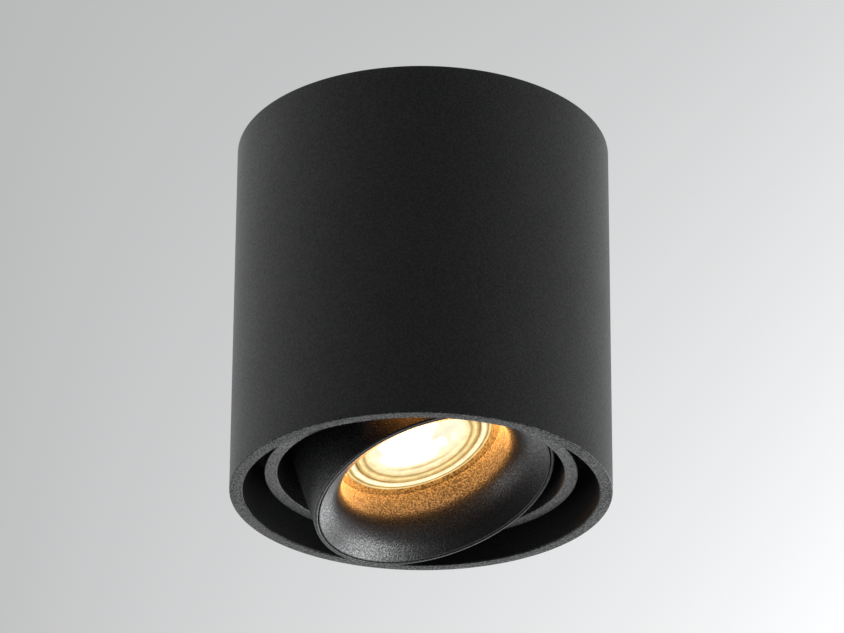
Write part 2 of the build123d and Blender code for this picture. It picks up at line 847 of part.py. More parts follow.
def lamp_pins():
    """The two headed pins of the twist-lock base."""
    neck_top = lamp_back + pin_neck_length
    pin = rod(pin_neck_radius, lamp_back, neck_top)
    head = rod(pin_head_radius, neck_top, neck_top + pin_head_length)
    pin += chamfer(head.faces().sort_by(Axis.Z)[-1].edges(), pin_edge)
    offset = pin_spacing / 2
    return Compound(children=[Pos(side * offset, 0, 0) * pin for side in (-1, 1)])


def lamp_capsule():
    """The clear capsule that stands up from the base into the bowl."""
    shoulder = capsule_tip + capsule_radius
    inner = capsule_radius - capsule_wall
    glass = rod(capsule_radius, shoulder, reflector_back) + Pos(0, 0, shoulder) * Sphere(capsule_radius)
    return glass - rod(inner, shoulder, capsule_floor()) - Pos(0, 0, shoulder) * Sphere(inner)


def capsule_floor():
    """The height at which the capsule's hollow ends in its pinched foot."""
    return reflector_back - capsule_foot


def lamp_filament():
    """The filament and its two legs, standing in the capsule."""
    middle = capsule_tip + filament_share * (reflector_back - capsule_tip)
    coil = Pos(0, 0, middle) * Rot(0, 90, 0) * Cylinder(filament_radius, filament_length)
    for side in (-1, 1):
        coil += Pos(side * filament_leg_spacing / 2, 0, 0) * rod(
            filament_leg_radius, middle, capsule_floor())
    return coil


# wires


def feed_wires():
    """Two wires from the terminal block to the middle of the light."""
    wires = []
    level = -wire_meeting_depth
    mouth = block_near_side - wire_insertion / 2
    for side, x in ((1, way_places()[1]), (-1, way_places()[2])):
        y = side * wire_half_spacing
        points = [
            (0, y, level),
            (x, y, level + wire_slope * x),
            (x, mouth, wire_entry),
            (x, block_near_side + wire_insertion, wire_entry),
        ]
        wires.append(wire_along(points, [corner_radius(points[0:3]), corner_radius(points[1:4])]))
    return Compound(children=wires)


def lampholder_wires():
    """Two wires from the middle of the light to the back of the lampholder."""
    tilt = radians(tilt_at_rest)
    lean = Vector(-sin(tilt), 0, cos(tilt))
    wires = []
    for side in (-1, 1):
        offset = Vector(0, side * wire_half_spacing, 0)
        start = Vector(0, 0, pivot_height) + lean * (holder_top - wire_hole_depth + wire_end_gap) + offset
        meeting = offset - Vector(0, 0, wire_meeting_depth)
        corner = Vector(0, 0, pivot_height) + lean * (holder_top + wire_rise_run) + offset
        corner = Vector(corner.X, corner.Y, meeting.Z + wire_slope * corner.X)
        points = [tuple(start), tuple(corner), tuple(meeting)]
        wires.append(wire_along(points, [corner_radius(points)]))
    return Compound(children=wires)


def lean_over(shape):
    """A head piece set on the tilt axis and leant to its resting tilt."""
    return head_place * shape


pieces = {
    "housing": housing(),
    "carrier_ring": carrier_ring(),
    "ceiling_plate": ceiling_plate(),
    "mounting_lugs": mounting_lugs(),
    "grub_screws": grub_screws(),
    "cable_grommet": cable_grommet(),
    "terminal_block": terminal_block(),
    "terminal_sleeves": terminal_sleeves(),
    "terminal_screws": terminal_screws(),
    "block_screw": block_screw(),
    "earth_screw": earth_screw(),
    "earth_eyelet": earth_eyelet(),
    "earth_wire": earth_wire(),
    "glide_washer": glide_washer(),
    "retaining_ring": retaining_ring(),
    "stop_pin": stop_pin(),
    "feed_wires": feed_wires(),
    "swivel_ring": swivel_ring(),
    "pivot_bushes": pivot_bushes(),
    "head_can": lean_over(head_can()),
    "can_back": lean_over(can_back()),
    "pivot_screws": lean_over(pivot_screws()),
    "pivot_spacers": lean_over(pivot_spacers()),
    "friction_washers": lean_over(friction_washers()),
    "lampholder_bracket": lean_over(lampholder_bracket()),
    "bracket_screws": lean_over(bracket_screws()),
    "lampholder": lean_over(lampholder()),
    "lampholder_contacts": lean_over(lampholder_contacts()),
    "lampholder_screws": lean_over(lampholder_screws()),
    "lampholder_wires": lampholder_wires(),
    "glare_baffle": lean_over(glare_baffle()),
    "baffle_springs": lean_over(baffle_springs()),
    "lamp_lens": lean_over(lamp_lens()),
    "lamp_reflector": lean_over(lamp_reflector()),
    "lamp_base": lean_over(lamp_base()),
    "lamp_pins": lean_over(lamp_pins()),
    "lamp_capsule": lean_over(lamp_capsule()),
    "lamp_filament": lean_over(lamp_filament()),
}

os.makedirs("parts", exist_ok=True)
for name, piece in pieces.items():
    export_step(piece, f"parts/{name}.step")
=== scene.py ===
"""Looks of a surface mounted ceiling spotlight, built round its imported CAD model.

The light hangs from the ceiling plane z = 0. Its head leans about a pivot on the axis, and every
piece of the head is drawn upright about that pivot, then leant over as it rests. Lengths are
metres and angles degrees, unless a name says otherwise.
"""

import logging
from dataclasses import dataclass, field
from enum import Enum
from math import cos, pi, radians, sin, sqrt, tan

import bmesh
import bpy
import numpy as np
from mathutils import Matrix, Vector


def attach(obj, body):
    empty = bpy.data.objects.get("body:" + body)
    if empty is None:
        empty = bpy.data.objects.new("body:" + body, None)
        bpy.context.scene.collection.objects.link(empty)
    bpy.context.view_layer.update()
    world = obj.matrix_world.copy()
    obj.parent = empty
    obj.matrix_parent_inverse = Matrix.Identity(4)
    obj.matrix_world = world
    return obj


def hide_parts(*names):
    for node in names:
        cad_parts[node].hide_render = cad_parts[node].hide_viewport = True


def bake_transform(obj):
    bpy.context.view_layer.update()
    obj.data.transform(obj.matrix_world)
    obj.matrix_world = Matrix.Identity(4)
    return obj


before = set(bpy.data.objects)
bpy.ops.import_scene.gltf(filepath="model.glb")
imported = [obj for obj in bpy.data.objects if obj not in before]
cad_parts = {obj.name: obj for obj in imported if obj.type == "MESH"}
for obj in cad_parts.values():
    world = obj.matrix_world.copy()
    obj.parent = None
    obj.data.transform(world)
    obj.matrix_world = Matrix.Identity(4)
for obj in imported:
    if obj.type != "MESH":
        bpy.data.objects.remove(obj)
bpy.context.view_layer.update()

logging.basicConfig(level=logging.INFO, format="%(name)s: %(message)s")
log = logging.getLogger("spotlight")

MM = 0.001
CORNERS = ((-1, -1), (1, -1), (1, 1), (-1, 1))


# ---------------------------------------------------------------- where the head leans


@dataclass(frozen=True)
class HeadPlace:
    """The resting place of the tilting head."""

    pivot_height: float = -87.8 * MM
    lean: float = 19.5

    def shine(self) -> np.ndarray:
        """The direction the lamp shines in, a unit vector."""
        return np.array([sin(radians(self.lean)), 0.0, -cos(radians(self.lean))])

    def set_in(self, points: np.ndarray) -> np.ndarray:
        """Leans upright head points into the light.

        (x, y, w) becomes (x cos t - w sin t, y, h + x sin t + w cos t), with t the lean and h
        the pivot's height.

        Args:
            points: An (n, 3) array drawn about the pivot, w upwards.

        Returns:
            The (n, 3) array in the light's own frame.
        """
        t = radians(self.lean)
        x, y, w = points.T
        return np.stack([x * cos(t) - w * sin(t), y, self.pivot_height + x * sin(t) + w * cos(t)], 1)


HEAD = HeadPlace()


# ---------------------------------------------------------------- surfaces worked out with numpy


@dataclass
class Skin:
    """Points and faces of a mesh that is still being worked out."""

    points: np.ndarray
    quads: np.ndarray
    triangles: np.ndarray = field(default_factory=lambda: np.zeros((0, 3), int))

    def joined(self, other: "Skin") -> "Skin":
        """This skin and another as one.

        Args:
            other: The skin to add.

        Returns:
            A skin that holds the points and faces of both.
        """
        n = len(self.points)
        return Skin(np.vstack([self.points, other.points]),
                    np.vstack([self.quads, other.quads + n]),
                    np.vstack([self.triangles, other.triangles + n]))

    def volume(self) -> float:
        """The volume inside, a sixth of the sum of a . (b x c) over the corners' triangles.

        Returns:
            The volume, negative where the faces point inwards.
        """
        q = self.quads
        fans = np.vstack([q[:, [0, 1, 2]], q[:, [0, 2, 3]], self.triangles])
        a, b, c = (self.points[fans[:, k]] for k in range(3))
        return float(np.einsum("ij,ij->i", a, np.cross(b, c)).sum() / 6)

    def outward(self) -> "Skin":
        """The same skin with its faces turned outwards.

        Returns:
            This skin, or one with every face reversed where the volume is negative.
        """
        if self.volume() >= 0:
            return self
        return Skin(self.points, self.quads[:, ::-1], self.triangles[:, ::-1])

    def moved(self, shift: tuple[float, float, float]) -> "Skin":
        """The skin shifted by a vector."""
        return Skin(self.points + np.array(shift), self.quads, self.triangles)

    def leant(self) -> "Skin":
        """A head piece's skin leant over to where the head rests."""
        return Skin(HEAD.set_in(self.points), self.quads, self.triangles)


def grid_quads(rows: int, columns: int, wrap_rows: bool, wrap_columns: bool) -> np.ndarray:
    """Corner numbers of the cells of a grid whose point (i, j) has number i * columns + j.

    Args:
        rows: Points down the grid.
        columns: Points along the grid.
        wrap_rows: Whether the last row joins the first.
        wrap_columns: Whether the last column joins the first.

    Returns:
        A (cells, 4) array.
    """
    i = np.arange(rows if wrap_rows else rows - 1)[:, None]
    j = np.arange(columns if wrap_columns else columns - 1)[None, :]
    down, across = (i + 1) % rows, (j + 1) % columns
    cells = [i * columns + j, down * columns + j, down * columns + across, i * columns + across]
    return np.stack(np.broadcast_arrays(*cells), -1).reshape(-1, 4)


def softened(corners: list[tuple[float, float]], cuts: list[float] | float, steps: int = 4,
             loop: bool = True) -> np.ndarray:
    """An outline whose corners are rounded by quadratic curves.

    Each corner c becomes (1 - t)^2 a + 2 t (1 - t) c + t^2 b, where a and b lie the corner's cut
    away from it along its two sides, at most 0.45 of each side.

    Args:
        corners: The outline's (radius, height) corners.
        cuts: How far each corner is cut back, or one value for all.
        steps: Points on each rounded corner, less one.
        loop: Whether the outline is closed. The ends of an open one stay sharp.

    Returns:
        An (n, 2) array of points.
    """
    c = np.array(corners, float)
    cut = np.broadcast_to(np.array(cuts, float), (len(c),)).copy()
    if not loop:
        cut[[0, -1]] = 0
    before, after = np.roll(c, 1, 0) - c, np.roll(c, -1, 0) - c
    reach = [np.linalg.norm(side, axis=1) for side in (before, after)]
    a, b = (c + side / np.maximum(size, 1e-12)[:, None] * np.minimum(cut, 0.45 * size)[:, None]
            for side, size in zip((before, after), reach))
    t = np.linspace(0, 1, steps + 1)[None, :, None]
    curve = (1 - t) ** 2 * a[:, None] + 2 * t * (1 - t) * c[:, None] + t ** 2 * b[:, None]
    flat = curve.reshape(-1, 2)
    keep = np.r_[True, np.linalg.norm(np.diff(flat, axis=0), axis=1) > 1e-9]
    flat = flat[keep]
    if loop and np.linalg.norm(flat[0] - flat[-1]) < 1e-9:
        flat = flat[:-1]
    return flat


def turned(outline: np.ndarray, steps: int = 192, loop: bool = True) -> Skin:
    """An outline carried round Z: point (i, j) is (r_i cos a_j, r_i sin a_j, h_i).

    Args:
        outline: (radius, height) points. An open outline starts or ends on the axis.
        steps: Points round the axis.
        loop: Whether the outline is closed.

    Returns:
        The closed skin, with a single point at each pole.
    """
    angle = np.arange(steps) * 2 * pi / steps
    body = outline[outline[:, 0] > 1e-9]
    r, h = body[:, :1], body[:, 1:]
    points = np.stack(np.broadcast_arrays(r * np.cos(angle), r * np.sin(angle), h), -1).reshape(-1, 3)
    quads = grid_quads(len(body), steps, loop, True)
    if loop:
        return Skin(points, quads).outward()
    ring = np.arange(steps)
    triangles, tips = [], []
    for end, row in ((0, 0), (-1, len(body) - 1)):
        if outline[end, 0] > 1e-9:
            continue
        tip = np.full(steps, len(points) + len(tips))
        fan = np.stack([row * steps + ring, row * steps + (ring + 1) % steps, tip], 1)
        triangles.append(fan if row == 0 else fan[:, ::-1])
        tips.append([0, 0, outline[end, 1]])
    skin = Skin(np.vstack([points, np.array(tips).reshape(-1, 3)]), quads,
                np.vstack(triangles) if triangles else np.zeros((0, 3), int))
    return skin.outward()


def ring_points(radius: np.ndarray | float, angle: np.ndarray, level: np.ndarray | float) -> np.ndarray:
    """Points (r cos a, r sin a, h), whose radius and height may differ from one to the next."""
    return np.stack(np.broadcast_arrays(radius * np.cos(angle), radius * np.sin(angle), level), -1)


def hexagon(radius: float, angle: np.ndarray) -> np.ndarray:
    """A hexagon's radius by angle: R cos 30 / cos a, with a folded to within 30 degrees of a side."""
    return radius * cos(pi / 6) / np.cos((angle + pi / 6) % (pi / 3) - pi / 6)


def capped(rings: np.ndarray, start: np.ndarray, end: np.ndarray) -> Skin:
    """A wall carried through rings of points, its two ends closed by fans.

    Point j of ring i is joined to point j of the next ring and to its neighbour j + 1, and each
    fan joins an end ring to one point.

    Args:
        rings: A (rings, points round, 3) array.
        start: The point that closes the first ring.
        end: The point that closes the last ring.

    Returns:
        The closed skin.
    """
    count, around = rings.shape[:2]
    here = np.arange(around)
    on = (here + 1) % around
    last, tip = (count - 1) * around, np.full(around, count * around)
    fans = np.vstack([np.stack([here, on, tip], 1), np.stack([last + on, last + here, tip + 1], 1)])
    points = np.vstack([rings.reshape(-1, 3), [start], [end]])
    return Skin(points, grid_quads(count, around, False, True), fans).outward()


def rounded_bar(radius: float, start: float, end: float, edge: float, steps: int = 48) -> Skin:
    """A round bar along Z whose two edges are rounded."""
    outline = softened([(0, start), (radius, start), (radius, end), (0, end)], edge, loop=False)
    return turned(outline, steps, loop=False)


def laid_outward(skin: Skin, direction: float, height: float) -> Skin:
    """A skin drawn along +Z laid level, pointing out in a direction from the axis.

    (x, y, z) becomes (z cos d + y sin d, z sin d - y cos d, x) plus the height, with d the
    direction, which keeps the skin's handedness.

    Args:
        skin: The skin, drawn along +Z.
        direction: The way it points, from +X.
        height: Where its own axis lies.

    Returns:
        The laid skin.
    """
    d = radians(direction)
    x, y, z = skin.points.T
    laid = np.stack([z * cos(d) + y * sin(d), z * sin(d) - y * cos(d), x + height], 1)
    return Skin(laid, skin.quads, skin.triangles).outward()


def tube_along(path: np.ndarray, radius: float, steps: int = 16) -> Skin:
    """A round tube carried along a path, its ends closed.

    Ring i is path_i + radius (n_i cos a + b_i sin a). n and b are square to the path's heading,
    and n is carried from ring to ring by taking away its part along the heading.

    Args:
        path: An (n, 3) array of centre points.
        radius: The tube's radius.
        steps: Points round the tube.

    Returns:
        The closed skin.
    """
    heading = np.gradient(path, axis=0)
    heading /= np.linalg.norm(heading, axis=1)[:, None]
    side = np.cross(heading[0], [0.3, 0.9, 0.2])
    sides = []
    for h in heading:
        side = side - h * (side @ h)
        side = side / np.linalg.norm(side)
        sides.append(side)
    n = np.array(sides)
    b = np.cross(heading, n)
    a = (np.arange(steps) * 2 * pi / steps)[None, :, None]
    rings = path[:, None] + radius * (n[:, None] * np.cos(a) + b[:, None] * np.sin(a))
    return capped(rings, path[0], path[-1])


def smooth_path(corners: list[tuple[float, float, float]], steps: int = 60) -> np.ndarray:
    """Points of a NURBS curve drawn by Blender through its control points.

    Args:
        corners: The control points.
        steps: Points on each stretch of the curve.

    Returns:
        An (n, 3) array along the curve.
    """
    curve = bpy.data.curves.new("path", "CURVE")
    curve.dimensions = "3D"
    spline = curve.splines.new("NURBS")
    spline.points.add(len(corners) - 1)
    flat = np.hstack([np.array(corners, float), np.ones((len(corners), 1))])
    spline.points.foreach_set("co", flat.ravel())
    spline.order_u = 3
    spline.use_endpoint_u = True
    spline.resolution_u = steps
    holder = bpy.data.objects.new("path", curve)
    mesh = bpy.data.meshes.new_from_object(holder)
    points = np.zeros(len(mesh.vertices) * 3)
    mesh.vertices.foreach_get("co", points)
    bpy.data.objects.remove(holder)
    bpy.data.meshes.remove(mesh)
    bpy.data.curves.remove(curve)
    return points.reshape(-1, 3)


def make_piece(name: str, skin: Skin, crease: float = 35) -> bpy.types.Object:
    """Puts a skin into a mesh object at the origin, smooth but for its creases.

    Args:
        name: The piece's name.
        skin: Its points and faces, in place.
        crease: The angle past which an edge stays sharp.

    Returns:
        The new object, linked to the scene.
    """
    mesh = bpy.data.meshes.new(name)
    mesh.from_pydata(skin.points.tolist(), [], skin.quads.tolist() + skin.triangles.tolist())
    mesh.update()
    mesh.shade_smooth()
    mesh.set_sharp_from_angle(angle=radians(crease))
    piece = bpy.data.objects.new(name, mesh)
    bpy.context.scene.collection.objects.link(piece)
    return piece


def weld(piece: bpy.types.Object, distance: float = 1e-6) -> None:
    """Merges points of a piece that lie together, so that its seams are closed.

    Args:
        piece: The piece.
        distance: How near two points lie to be one.
    """
    mesh = bmesh.new()
    mesh.from_mesh(piece.data)
    bmesh.ops.remove_doubles(mesh, verts=mesh.verts, dist=distance)
    mesh.to_mesh(piece.data)
    mesh.free()


# ---------------------------------------------------------------- finishes


class NodeBoard:
    """A node tree that is written one node at a time."""

    def __init__(self, tree: bpy.types.NodeTree) -> None:
        """Starts on a tree, emptied first.

        Args:
            tree: The node tree.
        """
        self.tree = tree
        self.tree.nodes.clear()

    def add(self, kind: str, inputs: dict | None = None, **settings: object) -> bpy.types.Node:
        """Adds a node, sets its properties, and sets or links its inputs.

        Args:
            kind: The node's type, less its first word.
            inputs: Values or sockets by the input's name or number.
            settings: The node's properties.

        Returns:
            The new node.
        """
        node = self.tree.nodes.new("ShaderNode" + kind)
        for key, value in settings.items():
            setattr(node, key, value)
        for key, value in (inputs or {}).items():
            if isinstance(value, bpy.types.NodeSocket):
                self.tree.links.new(value, node.inputs[key])
            else:
                node.inputs[key].default_value = value
        return node

    def math(self, operation: str, a: object, b: object = 0.0, clamp: bool = False) -> bpy.types.NodeSocket:
        """The result of a Math node."""
        return self.add("Math", {0: a, 1: b}, operation=operation, use_clamp=clamp).outputs[0]

    def dot(self, a: object, b: object) -> bpy.types.NodeSocket:
        """The dot product of two vectors."""
        return self.add("VectorMath", {0: a, 1: b}, operation="DOT_PRODUCT").outputs["Value"]

    def between(self, value: bpy.types.NodeSocket, low: float, high: float, to_low: float,
                to_high: float) -> bpy.types.NodeSocket:
        """A value carried from one range into another, smoothly and held at the ends.

        Args:
            value: The value.
            low: One end of its range.
            high: The other end.
            to_low: What the low end becomes.
            to_high: What the high end becomes.

        Returns:
            The carried value.
        """
        node = self.add("MapRange", {"Value": value, "From Min": low, "From Max": high,
                                     "To Min": to_low, "To Max": to_high},
                        interpolation_type="SMOOTHSTEP")
        return node.outputs["Result"]


class Recipe(NodeBoard):
    """A material's node tree."""

    def __init__(self, name: str) -> None:
        """Starts a material with an empty tree.

        Args:
            name: The material's name.
        """
        self.material = bpy.data.materials.new(name)
        self.material.use_nodes = True
        super().__init__(self.material.node_tree)

    def place(self) -> bpy.types.NodeSocket:
        """Object coordinates, which move with the piece."""
        return self.add("TexCoord").outputs["Object"]

    def head_place(self) -> bpy.types.NodeSocket:
        """Object coordinates turned upright about the head's pivot.

        Returns:
            A place whose Z axis is the lamp's.
        """
        mapping = self.add("Mapping", {"Vector": self.place(),
                                       "Location": (0, 0, HEAD.pivot_height),
                                       "Rotation": (0, -radians(HEAD.lean), 0)},
                           vector_type="TEXTURE")
        return mapping.outputs["Vector"]

    def height(self, place: bpy.types.NodeSocket) -> bpy.types.NodeSocket:
        """The height of a place."""
        return self.add("SeparateXYZ", {0: place}).outputs[2]

    def from_axis(self, place: bpy.types.NodeSocket) -> bpy.types.NodeSocket:
        """A place's distance from the Z axis."""
        flat = self.add("VectorMath", {0: place, 1: (1, 1, 0)}, operation="MULTIPLY").outputs[0]
        return self.add("VectorMath", {0: flat}, operation="LENGTH").outputs["Value"]

    def noise(self, size: float, detail: float = 2, place: bpy.types.NodeSocket | None = None,
              roughness: float = 0.5) -> bpy.types.NodeSocket:
        """A noise whose features are about a given size.

        Args:
            size: The features' size.
            detail: How many finer layers it has.
            place: Where it is read, or None for the piece's own coordinates.
            roughness: How strong the finer layers are.

        Returns:
            A value from 0 to 1.
        """
        node = self.add("TexNoise", {"Vector": place or self.place(), "Scale": 1 / size,
                                     "Detail": detail, "Roughness": roughness})
        return node.outputs["Fac"]

    def blend_colors(self, share: bpy.types.NodeSocket, a: tuple, b: tuple) -> bpy.types.NodeSocket:
        """Two colours mixed by a share."""
        return self.add("Mix", {0: share, 6: (*a, 1), 7: (*b, 1)}, data_type="RGBA").outputs[2]

    def ramp(self, value: bpy.types.NodeSocket, stops: list[tuple[float, tuple]]) -> bpy.types.NodeSocket:
        """A colour by a value, eased from stop to stop.

        Args:
            value: The value.
            stops: The (position, colour) stops.

        Returns:
            The colour.
        """
        node = self.add("ValToRGB", {0: value})
        node.color_ramp.interpolation = "EASE"
        elements = node.color_ramp.elements
        elements.remove(elements[-1])
        for number, (position, color) in enumerate(stops):
            stop = elements[0] if number == 0 else elements.new(position)
            stop.position = position
            stop.color = (*color, 1)
        return node.outputs["Color"]

    def sheen(self, normal: bpy.types.NodeSocket) -> bpy.types.NodeSocket:
        """How much clear glass mirrors: a little when faced, much when seen along it."""
        slant = self.add("LayerWeight", {"Blend": 0.5, "Normal": normal}).outputs["Facing"]
        return self.math("ADD", self.math("MULTIPLY", self.math("POWER", slant, 5.0), 0.8), 0.04)

    def bump(self, height: bpy.types.NodeSocket, strength: float, depth: float) -> bpy.types.NodeSocket:
        """A bumped normal."""
        return self.add("Bump", {"Height": height, "Strength": strength, "Distance": depth}).outputs[0]

    def finish(self, shader: bpy.types.Node) -> bpy.types.Material:
        """Links the last shader to the output."""
        self.add("OutputMaterial", {"Surface": shader.outputs[0]})
        return self.material


@dataclass(frozen=True)
class PowderCoat:
    """Fine textured black powder coat: glossy flecks and matt pits over aluminium."""

    name: str = "black powder coat"
    pit: tuple = (0.0060, 0.0062, 0.0068)
    fleck: tuple = (0.0200, 0.0204, 0.0216)
    grain: float = 0.55 * MM
    fine_grain: float = 0.30 * MM
    depth: float = 0.10 * MM
    smoothest: float = 0.36
    roughest: float = 0.52
    dullest: float = 0.22
    brightest: float = 0.95
    strength: float = 1.0
    cloud: float = 14 * MM

    def contrast(self, r: Recipe, place: bpy.types.NodeSocket) -> object:
        """How strong the grain is at a place: even all over."""
        return self.strength

    def gloss(self, r: Recipe, place: bpy.types.NodeSocket) -> object:
        """How much of its gloss the coat has at a place: all of it."""
        return 1.0

    def matting(self, r: Recipe) -> object:
        """How much rougher than usual the coat is at a place: not at all."""
        return 0.0

    def material(self) -> bpy.types.Material:
        """Grain in colour, gloss, roughness and bump, and a faint cloud over it.

        Returns:
            The material.
        """
        r = Recipe(self.name)
        place = r.place()
        coarse = r.noise(self.grain, 2, place, 0.6)
        fine = r.noise(self.fine_grain, 1, place)
        height = r.math("ADD", r.math("MULTIPLY", coarse, 0.6), r.math("MULTIPLY", fine, 0.4))
        cloud = r.math("MULTIPLY", r.math("SUBTRACT", r.noise(self.cloud, 2, place), 0.5), 0.10)
        spread = r.math("SUBTRACT", r.between(r.math("ADD", height, cloud), 0.40, 0.62, 0, 1), 0.5)
        fleck = r.math("ADD", r.math("MULTIPLY", spread, self.contrast(r, place)), 0.5)
        level = r.between(fleck, 0, 1, self.dullest, self.brightest)
        shader = r.add("BsdfPrincipled", {
            "Base Color": r.blend_colors(fleck, self.pit, self.fleck),
            "Roughness": r.math("ADD", r.between(fleck, 0, 1, self.roughest, self.smoothest),
                                self.matting(r)),
            "Specular IOR Level": r.math("MULTIPLY", level, self.gloss(r, place)),
            "Normal": r.bump(height, 1.0, self.depth)})
        return r.finish(shader)


@dataclass(frozen=True)
class HeadCoat(PowderCoat):
    """The coat on the head, darker than the tube's as painted shade: full grain in the throat, fainter on the
    flare, strongest on the can's outer side as painted sparkle.
    """

    # Pit and fleck darker than the tube's coat: painted shade on the can and in the flare.
    pit: tuple = (0.0044, 0.0047, 0.0054)
    fleck: tuple = (0.0150, 0.0156, 0.0172)
    smoothest: float = 0.25
    roughest: float = 0.37
    dullest: float = 0.30
    brightest: float = 1.0
    lip: float = -7.5 * MM
    throat: float = -1.0 * MM
    flare_grain: float = 0.55
    throat_matting: float = 0.18
    matt_start: float = -4.0 * MM
    matt_radius: float = 25.0 * MM
    matt_edge: float = 2.0 * MM
    side_radius: float = 32.3 * MM
    side_edge: float = 0.2 * MM
    side_sparkle_grain: float = 1.9

    def contrast(self, r: Recipe, place: bpy.types.NodeSocket) -> object:
        """Full grain in the throat, less towards the lip, and more on the can's outer side.

        Args:
            r: The material's recipe.
            place: Not needed, because the head's own axis counts.

        Returns:
            The grain's strength.
        """
        upright = r.head_place()
        inside = r.between(r.height(upright), self.lip, self.throat, self.flare_grain, 1.0)
        # Stronger flecks on the can's outer side: painted sparkle where light glances along it.
        side = r.between(r.from_axis(upright), self.side_radius, self.side_radius + self.side_edge,
                         1.0, self.side_sparkle_grain)
        return r.math("MULTIPLY", inside, side)

    def matting(self, r: Recipe) -> object:
        """Rougher in the throat than on the flare and outside.

        Args:
            r: The material's recipe.

        Returns:
            What is added to the roughness.
        """
        upright = r.head_place()
        deep = r.between(r.height(upright), self.matt_start, self.throat, 0.0, self.throat_matting)
        near = r.between(r.from_axis(upright), self.matt_radius, self.matt_radius + self.matt_edge, 1.0, 0.0)
        return r.math("MULTIPLY", deep, near)


@dataclass(frozen=True)
class TubeCoat(PowderCoat):
    """The coat on the housing: faint grain on the wall, strong grain on the rim, partly painted sparkle where
    it catches the light, and gloss cut down in the bore as painted shade.
    """

    rim: float = -99.6 * MM
    bore: float = 46.6 * MM
    wall_grain: float = 0.26
    # Rim grain: real grain, strengthened as painted sparkle.
    rim_grain_and_sparkle: float = 1.1
    # Gloss kept in the bore: painted shade.
    bore_shaded_gloss: float = 0.35
    rim_edge: float = 0.25 * MM
    bore_edge: float = 0.5 * MM

    def contrast(self, r: Recipe, place: bpy.types.NodeSocket) -> object:
        """Full grain on the rim, partly painted sparkle, little above it."""
        return r.between(r.height(place), self.rim - self.rim_edge, self.rim, self.rim_grain_and_sparkle, self.wall_grain)

    def gloss(self, r: Recipe, place: bpy.types.NodeSocket) -> object:
        """Full gloss outside and on the rim, little in the bore: painted shade between tube and ring."""
        return r.between(r.from_axis(place), self.bore, self.bore + self.bore_edge, self.bore_shaded_gloss, 1.0)


@dataclass(frozen=True)
class Metal:
    """A bare or plated metal with a faint cloud, fine scratches and dull spots."""

    name: str
    color: tuple
    stain: tuple
    smoothest: float = 0.22
    roughest: float = 0.42
    scratch: float = 0.25 * MM
    scratch_stretch: float = 0.08
    cloud: float = 6 * MM

    def material(self) -> bpy.types.Material:
        """Cloudy colour and roughness, with stretched noise as scratches.

        Returns:
            The material.
        """
        r = Recipe(self.name)
        place = r.place()
        cloud = r.noise(self.cloud, 4, place)
        stretched = r.add("Mapping", {"Vector": place, "Scale": (1, 1, self.scratch_stretch)}).outputs[0]
        lines = r.noise(self.scratch, 2, stretched)
        color = r.blend_colors(r.between(cloud, 0.35, 0.7, 0, 1), self.color, self.stain)
        rough = r.between(r.math("ADD", r.math("MULTIPLY", cloud, 0.5), r.math("MULTIPLY", lines, 0.5)),
                          0.3, 0.7, self.smoothest, self.roughest)
        shader = r.add("BsdfPrincipled", {
            "Base Color": color, "Metallic": 1.0, "Roughness": rough,
            "Normal": r.bump(lines, 0.25, 0.01 * MM)})
        return r.finish(shader)


@dataclass(frozen=True)
class Moulded:
    """A moulded or fired material: nylon, rubber or ceramic."""

    name: str
    color: tuple
    shade: tuple
    roughness: float
    grain: float
    depth: float
    translucent: float = 0.0
    cloud: float = 5 * MM

    def material(self) -> bpy.types.Material:
        """A matt skin with its own grain.

        Returns:
            The material.
        """
        r = Recipe(self.name)
        place = r.place()
        grain = r.noise(self.grain, 3, place)
        cloud = r.noise(self.cloud, 2, place)
        color = r.blend_colors(r.between(cloud, 0.3, 0.75, 0, 1), self.color, self.shade)
        shader = r.add("BsdfPrincipled", {
            "Base Color": color,
            "Roughness": r.between(grain, 0.3, 0.7, self.roughness - 0.08, self.roughness + 0.08),
            "Subsurface Weight": self.translucent,
            "Subsurface Scale": 0.6 * MM,
            "Normal": r.bump(grain, 0.5, self.depth)})
        return r.finish(shader)


@dataclass(frozen=True)
class WireSheath:
    """Wire insulation, plain or with a second colour in slanted bands."""

    name: str
    color: tuple
    band: tuple
    banded: bool
    band_length: float = 14 * MM
    weave: float = 0.3 * MM

    def material(self) -> bpy.types.Material:
        """A silky sleeve with a fine weave, its bands from a wave over the piece's place.

        Returns:
            The material.
        """
        r = Recipe(self.name)
        place = r.place()
        weave = r.noise(self.weave, 2, place)
        if self.banded:
            wave = r.add("TexWave", {"Vector": place, "Scale": 1 / self.band_length, "Distortion": 0.0},
                         bands_direction="DIAGONAL").outputs["Fac"]
            share = r.between(wave, 0.45, 0.55, 0, 1)
        else:
            share = r.between(weave, 0.3, 0.7, 0, 1)
        shader = r.add("BsdfPrincipled", {
            "Base Color": r.blend_colors(share, self.color, self.band), "Roughness": 0.5,
            "Normal": r.bump(weave, 0.4, 0.02 * MM)})
        return r.finish(shader)


@dataclass(frozen=True)
class ClearGlass:
    """Thin clear glass, seen straight through, with a faint warm veil of the lamp's light."""

    name: str
    tint: tuple
    veil: float
    veil_color: tuple = (1.0, 0.72, 0.36)
    ripple: float = 1.6 * MM

    def material(self) -> bpy.types.Material:
        """A mix of a sharp gloss over a clear film by how far it is seen along, plus the veil.

        Returns:
            The material.
        """
        r = Recipe(self.name)
        ripple = r.bump(r.noise(self.ripple, 1), 0.35, 0.05 * MM)
        gloss = r.add("BsdfGlossy", {"Color": (1, 1, 1, 1), "Roughness": 0.04, "Normal": ripple})
        clear = r.add("BsdfTransparent", {"Color": (*self.tint, 1)})
        glass = r.add("MixShader", {0: r.sheen(ripple), 1: clear.outputs[0], 2: gloss.outputs[0]})
        glow = r.add("Emission", {"Color": (*self.veil_color, 1), "Strength": self.veil})
        return r.finish(r.add("AddShader", {0: glass.outputs[0], 1: glow.outputs[0]}))


